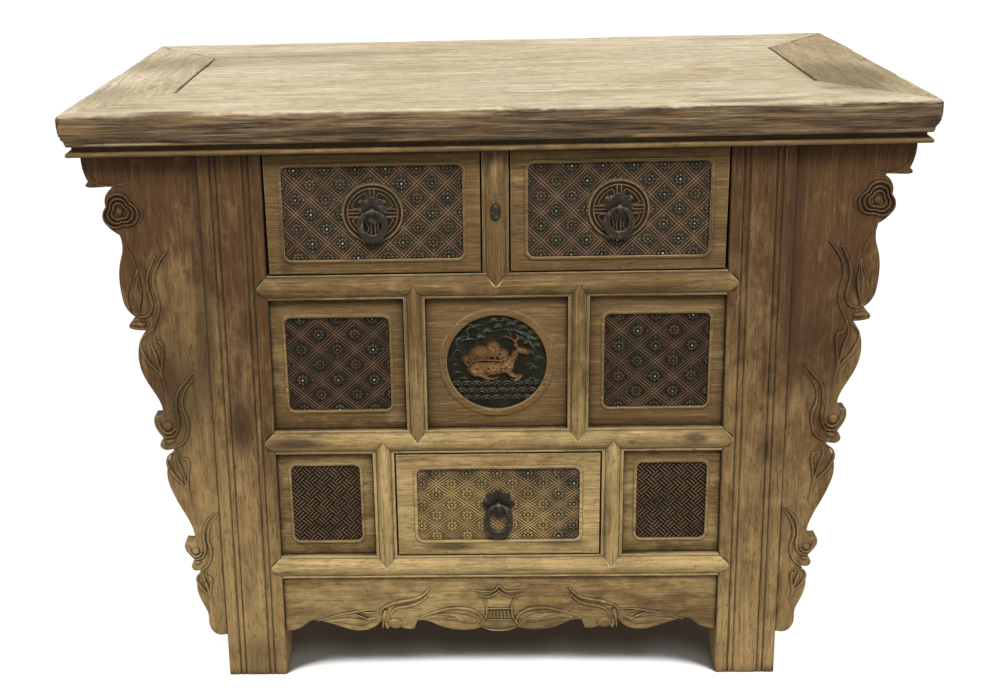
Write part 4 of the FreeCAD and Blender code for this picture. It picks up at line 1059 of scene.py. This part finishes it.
# %% Copy, rebuild and wear the five boards
TOP_HALF_LENGTH, TOP_HALF_DEPTH, TOP_HEIGHT = cad_high / MM
FURROW_MM = 6.0
FURROW_RUN_MM = 110.0
CRACK_MM = 11.0
CRACK_RUN_MM = 300.0
HOLLOW_MM = 70.0
HOLLOW_RUN_MM = 160.0
EDGE_ZONE_MM = 20.0
ARRIS_ROUND_MM = 8.5
LEAST_ROUND_MM = 2.0
CORNER_ROUND_MM = 13.0


def ripple(x, y, z, grain):
    """How deep the furrows are at a point, in millimetres."""
    along_grain, side = (x, y) if grain == "X" else (y, x)
    furrow = noise.noise((along_grain / FURROW_RUN_MM, side / FURROW_MM, z / FURROW_MM))
    crack = noise.noise((along_grain / CRACK_RUN_MM, side / CRACK_MM + 40, z / CRACK_MM))
    hollow = noise.noise((along_grain / HOLLOW_RUN_MM, side / HOLLOW_MM, z / HOLLOW_MM + 9))
    return 0.15 + max(0.0, furrow) * 1.1 + max(0.0, crack - 0.36) * 9.0 + max(0.0, hollow) * 1.2


def blunted(first, second, radius):
    """Two distances from an arris, moved behind a round of the given radius."""
    if first >= radius or second >= radius:
        return first, second
    reach = math.hypot(radius - first, radius - second)
    if reach <= radius:
        return first, second
    return radius - (radius - first) * radius / reach, radius - (radius - second) * radius / reach


def wear_top(piece, grain, voxel):
    """Furrow one board and blunt the arrises that lie on the outside of the top."""
    modify(piece, "REMESH", mode="VOXEL", voxel_size=voxel * MM)
    normals = [vertex.normal.copy() for vertex in piece.data.vertices]
    for vertex, normal in zip(piece.data.vertices, normals):
        x, y, z = vertex.co / MM
        outside = (normal.z > 0.5, abs(normal.y) > 0.5 and TOP_HALF_DEPTH - abs(y) < EDGE_ZONE_MM,
                   abs(normal.x) > 0.5 and TOP_HALF_LENGTH - abs(x) < EDGE_ZONE_MM)
        if any(outside):
            vertex.co -= normal * ripple(x, y, z, grain) * MM
        x, y, z = vertex.co / MM
        to_end = TOP_HALF_LENGTH - abs(x)
        to_front = TOP_HALF_DEPTH - abs(y)
        to_top = TOP_HEIGHT - z
        wander = 7 * noise.noise((x / 60, y / 60, 2)) + 5 * max(0, noise.noise((x / 13, y / 13, 7)))
        chip = max(LEAST_ROUND_MM, ARRIS_ROUND_MM + wander)
        to_front, to_top = blunted(to_front, to_top, chip)
        to_end, to_top = blunted(to_end, to_top, chip)
        to_end, to_front = blunted(to_end, to_front, CORNER_ROUND_MM)
        vertex.co = (math.copysign(TOP_HALF_LENGTH - to_end, x) * MM,
                     math.copysign(TOP_HALF_DEPTH - to_front, y) * MM, (TOP_HEIGHT - to_top) * MM)
    pick(piece)
    bpy.ops.object.shade_smooth()
    return piece


boards = (("top_front_rail", "X", 2.05), ("top_back_rail", "X", 3.2), ("top_left_end", "Y", 2.6),
          ("top_right_end", "Y", 2.6), ("top_panel", "X", 3.4))
for name, grain, voxel in boards:
    board = wear_top(own_copy(name, "worn_" + name), grain, voxel)
    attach(board, "case")
    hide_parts(name)
    print(board.name, triangles(board), "triangles")

# %% [markdown]
# ## Sooty paint in the carving
# The carvings were once painted. What is left is a nearly black skin of soot and oil in the
# hollows, green on the flowers, a little red between them, and bare brown wood on the parts
# that hands reach. The shader reads how far a point stands above the ground, so the colour
# follows the relief, and noise breaks it into patches some 30 mm wide. Occlusion adds painted
# shade in the hollows, the palest tone on the beads is partly a painted highlight, and on the
# medallion the curvature paints a highlight on ridges and shade in creases.

# %% Carved and sooted elm with painted shade
RISES = (0.05, 0.22, 0.42, 0.54, 0.72, 0.90)
LATTICE_RISES = (0.05, 0.18, 0.34, 0.48, 0.68, 0.92)
PATCH_MM = 33.3
FLAKE_MM = 10.53
SPECK_MM = 2.38
HOLLOW_DIRT_AND_SHADE_MM = 2.2
STROKE_MARK_MM = 0.6


def sooted_and_shaded(name, ground, high, tones, rises=RISES, bare_at=None, bare_size=(90.0, 60.0),
           painted=False):
    """Old paint and soot over carved elm, worn to the wood where it stands highest, with painted
    shade in the hollows; a painted piece also gets painted light and shade by curvature.
    """
    material, tree = new_material(name)
    place = add(tree, "TexCoord", out=3)
    depth = add(tree, "SeparateXYZ", {0: place}, out=1)
    rise = add(tree, "MapRange", {0: depth, 1: (ground - 0.2) * MM, 2: (ground - high) * MM})
    patches = add(tree, "TexNoise", {"Vector": place, "Scale": 1 / (PATCH_MM * MM), "Detail": 4.0})
    flakes = add(tree, "TexNoise", {"Vector": place, "Scale": 1 / (FLAKE_MM * MM), "Detail": 4.0,
                                    "Roughness": 0.65})
    speck = add(tree, "TexNoise", {"Vector": place, "Scale": 1 / (SPECK_MM * MM), "Detail": 4.0})
    colour = add(tree, "ValToRGB", {0: rise}, stops=tuple(zip(rises, tones)))
    for source, low, high_end, strength, tint in (
            (patches, 0.50, 0.64, 0.35, "#262c22"), (patches, 0.42, 0.30, 0.35, "#43271a"),
            (flakes, 0.52, 0.66, 0.40, tones[1]), (flakes, 0.46, 0.34, 0.25, tones[2])):
        share = add(tree, "MapRange", {0: source, 1: low, 2: high_end, 3: 0.0, 4: strength})
        colour = add(tree, "Mix", {0: share, 6: colour, 7: linear(tint)}, out=2, data_type="RGBA")
    if painted:
        figure = add(tree, "Attribute", out=2, attribute_name="bare_wood")
        lit = add(tree, "Mix", {0: rise, 6: linear("#2a1c11"), 7: linear("#7a5d3b")}, out=2,
                  data_type="RGBA")
        colour = add(tree, "Mix", {0: figure, 6: colour, 7: lit}, out=2, data_type="RGBA")
    if bare_at:
        middle = (bare_at[0], ground, bare_at[1])
        clean = near(tree, place, patches, middle, (bare_size[0], 900.0, bare_size[1]), 0.95)
        wood = add(tree, "ValToRGB", {0: rise}, stops=((0.05, "#55422a"), (0.28, "#988256"),
                                                        (0.46, "#957e52"), (0.72, "#76603b")))
        colour = add(tree, "Mix", {0: clean, 6: colour, 7: wood}, out=2, data_type="RGBA")
    # On a painted piece, curvature paints a highlight on ridges and painted shade in creases.
    if painted:
        pointiness_light_and_shade = add(tree, "NewGeometry", out=7)
        for low, high_end, strength, tint in ((0.53, 0.62, 0.55, "#8f7a58"), (0.48, 0.42, 0.90, DEEPEST)):
            share = add(tree, "MapRange", {0: pointiness_light_and_shade, 1: low, 2: high_end, 3: 0.0, 4: strength})
            colour = add(tree, "Mix", {0: share, 6: colour, 7: linear(tint)}, out=2, data_type="RGBA")
    # Occlusion darkens the hollows with soot and painted shade.
    corner = add(tree, "AmbientOcclusion", {"Distance": HOLLOW_DIRT_AND_SHADE_MM * MM}, out=1, samples=8)
    dirt_and_shade = add(tree, "MapRange", {0: corner, 1: 0.85, 2: 0.40, 3: 0.0, 4: 0.85})
    colour = add(tree, "Mix", {0: dirt_and_shade, 6: colour, 7: linear(DEEPEST)}, out=2, data_type="RGBA")
    rough = add(tree, "MapRange", {0: speck, 1: 0.3, 2: 0.7, 3: 0.55, 4: 0.85})
    strokes = add(tree, "Math", {0: flakes, 1: 3.0 if painted else 0.8, 2: speck}, operation="MULTIPLY_ADD")
    bump = add(tree, "Bump", {"Strength": 0.8, "Distance": STROKE_MARK_MM * MM, "Height": strokes})
    shader = add(tree, "BsdfPrincipled", {"Base Color": colour, "Roughness": rough, "Normal": bump,
                                          "Specular IOR Level": 0.04})
    add(tree, "OutputMaterial", {"Surface": shader})
    return material


# The last tone of the first two palettes, on the tops of the beads, is partly wood worn bare and partly a
# painted highlight.
BROWN_SOOT_AND_BEAD_HIGHLIGHT = ("#312720", "#45382d", "#776149", "#343a31", "#444b40", "#a9a690")
BLACK_SOOT_AND_BEAD_HIGHLIGHT = ("#251d15", "#352a20", "#634f3c", "#293028", "#364036", "#98967f")
WOVEN_SOOT = ("#16100b", "#261c14", "#413425", "#503f2e", "#594936", "#62523e")
DISC_SOOT = ("#261d15", "#3a2d21", "#574634", "#6f5b42", "#7b674b", "#88744f")
SCENE_PAINT = ("#1b1a13", "#2b2e25", "#40443a", "#565242", "#695c45", "#7d6c50")
DRAWER_CARVING = (DRAWER_GROUND, DRAWER_RISE_MM, BROWN_SOOT_AND_BEAD_HIGHLIGHT, LATTICE_RISES)
sooted_and_shaded_finishes = {
    "drawer": sooted_and_shaded("sooted_shaded_drawer_carving", *DRAWER_CARVING),
    "lower_drawer": sooted_and_shaded("half_bare_drawer_carving", *DRAWER_CARVING, bare_at=(-38, 230),
                           bare_size=(118.0, 72.0)),
    "middle": sooted_and_shaded("sooted_shaded_panel_carving", PANEL_GROUND, PANEL_RISE_MM, BLACK_SOOT_AND_BEAD_HIGHLIGHT, LATTICE_RISES),
    "lower": sooted_and_shaded("sooted_shaded_basket_carving", PANEL_GROUND, STROKE_RISE_MM, WOVEN_SOOT),
    "roundel": sooted_and_shaded("rubbed_roundel_carving", ROUNDEL_FACE - 0.1, 1.9, DISC_SOOT),
    "medallion": sooted_and_shaded("painted_medallion", PANEL_GROUND, 6.5, SCENE_PAINT, painted=True),
}
for piece in fields + roundels + [medallion]:
    kind = next(kind for kind in ("medallion", "roundel", "lower_drawer", "drawer", "middle", "lower")
                if kind in piece.name)
    piece.data.materials.clear()
    piece.data.materials.append(sooted_and_shaded_finishes[kind])
for piece in (left_scroll, right_scroll):
    piece.data.materials.append(finishes["scroll"])
apron_scroll.data.materials.append(finishes["apron"])
print("carved fields:", len(fields))

# %% [markdown]
# ## A plain studio
# The cabinet stands on a white floor that runs past the picture's edge. Daylight from all
# round carries most of the light, and a soft sun from high in front gives the overhang its
# shade and the floor its contact shadow. White is only added for rays that go straight to
# the camera or come off a shiny surface, so hardly any extra light reaches the wood. The
# floor's own shadow is painted by how much of the air above it is open.

# %% Floor
bpy.ops.object.select_all(action="DESELECT")
FLOOR_SIZE = 60.0
SHADOW_REACH_MM = 300.0
DARKEST_OPEN_SHARE = 0.40
LIT_OPEN_SHARE = 0.485
PAPER_GLOW = 1.12
GLOW_SHARE = 0.85
bpy.ops.mesh.primitive_plane_add(size=FLOOR_SIZE, location=(0.0, 0.0, 0.0))
floor = bpy.context.object
floor.name = "studio_floor"
paper, paper_tree = new_material("matt_white_paper")
matt = add(paper_tree, "BsdfPrincipled", {"Base Color": linear("#bebcb8"), "Roughness": 0.9})
open_air = add(paper_tree, "AmbientOcclusion", {"Distance": SHADOW_REACH_MM * MM}, out=1, samples=96)
lit = add(paper_tree, "MapRange", {0: open_air, 1: DARKEST_OPEN_SHARE, 2: LIT_OPEN_SHARE})
shade = add(paper_tree, "Mix", {0: lit, 6: linear("#30281f"), 7: linear("#fffefc")}, out=2,
            data_type="RGBA")
white = add(paper_tree, "Emission", {0: shade, 1: PAPER_GLOW})
seen = add(paper_tree, "MapRange", {0: add(paper_tree, "LightPath"), 3: 0.0, 4: GLOW_SHARE})
sheet = add(paper_tree, "MixShader", {0: seen, 1: matt, 2: white})
add(paper_tree, "OutputMaterial", {"Surface": sheet})
floor.data.materials.append(paper)

# %% Daylight and sun
world = bpy.data.worlds.new("studio_daylight")
bpy.context.scene.world = world
world.use_nodes = True
sky = world.node_tree
sky.nodes.clear()
SIDE_LIGHT = 0.20
OVERHEAD_LIGHT = 1.1
BACK_LIGHT = 0.30
SUN_STRENGTH = 3.6
SUN_SOFTNESS = 26
SUN_TILT = 38
SUN_TURN = 8
seen = add(sky, "LightPath")
for ray in ("Is Glossy Ray", "Is Transmission Ray"):
    seen = add(sky, "Math", {0: seen, 1: add(sky, "LightPath", out=ray)}, operation="MAXIMUM")
way = add(sky, "TexCoord")
upward = add(sky, "SeparateXYZ", {0: way}, out=2)
forward = add(sky, "SeparateXYZ", {0: way}, out=1)
dome = add(sky, "MapRange", {0: upward, 1: 0.1, 2: 1.0, 3: SIDE_LIGHT, 4: OVERHEAD_LIGHT},
           interpolation_type="SMOOTHSTEP")
front = add(sky, "MapRange", {0: forward, 1: 0.45, 2: -0.25, 3: BACK_LIGHT, 4: 1.0})
shaped = add(sky, "Math", {0: dome, 1: front}, operation="MULTIPLY")
level = add(sky, "MapRange", {0: seen, 3: shaped, 4: 1.0})
backdrop = add(sky, "Background", {0: (1.0, 1.0, 1.0, 1.0), 1: level})
add(sky, "OutputWorld", {0: backdrop})
bpy.ops.object.light_add(type="SUN", rotation=(math.radians(SUN_TILT), 0.0, math.radians(SUN_TURN)))
sun = bpy.context.object
sun.name = "soft_sun"
sun.data.energy = SUN_STRENGTH
sun.data.angle = math.radians(SUN_SOFTNESS)
print("overhead light", OVERHEAD_LIGHT, "sun", SUN_STRENGTH)

# %% [markdown]
# ## The camera
# The picture's perspective was solved from the top's corners, the feet and the ends of the
# rails. The camera stands a little left of the middle, just under two metres away and
# higher than the top, and looks down on it with the slightest tilt. Its shift keeps the
# solved centre of view without turning it.

# %% Camera
CAMERA_PLACE = Vector((-21.57, -1948.5, 1091.8)) * MM
CAMERA_YAW = math.radians(-2.065)
CAMERA_PITCH = math.radians(18.175)
CAMERA_ROLL = math.radians(-1.452)
PICTURE_WIDTH = 1000
PICTURE_HEIGHT = 697
FOCAL_PX = 1396.45
VIEW_CENTRE_PX = (431.29, 301.25)
forward = Vector((math.sin(CAMERA_YAW) * math.cos(CAMERA_PITCH),
                  math.cos(CAMERA_YAW) * math.cos(CAMERA_PITCH), -math.sin(CAMERA_PITCH)))
level_right = Vector((math.cos(CAMERA_YAW), -math.sin(CAMERA_YAW), 0.0))
level_up = level_right.cross(forward)
right = math.cos(CAMERA_ROLL) * level_right + math.sin(CAMERA_ROLL) * level_up
up = math.cos(CAMERA_ROLL) * level_up - math.sin(CAMERA_ROLL) * level_right
bpy.ops.object.camera_add(location=CAMERA_PLACE)
camera = bpy.context.object
camera.name = "picture_camera"
camera.matrix_world = Matrix((
    (right.x, up.x, -forward.x, CAMERA_PLACE.x),
    (right.y, up.y, -forward.y, CAMERA_PLACE.y),
    (right.z, up.z, -forward.z, CAMERA_PLACE.z),
    (0.0, 0.0, 0.0, 1.0)))
camera.data.sensor_width = 36.0
camera.data.lens = camera.data.sensor_width * FOCAL_PX / PICTURE_WIDTH
camera.data.shift_x = (PICTURE_WIDTH / 2 - VIEW_CENTRE_PX[0]) / PICTURE_WIDTH
camera.data.shift_y = (VIEW_CENTRE_PX[1] - PICTURE_HEIGHT / 2) / PICTURE_WIDTH
bpy.context.scene.camera = camera
print("lens", round(camera.data.lens, 2), "mm")

# %% Colours as written
bpy.context.scene.view_settings.view_transform = "Standard"
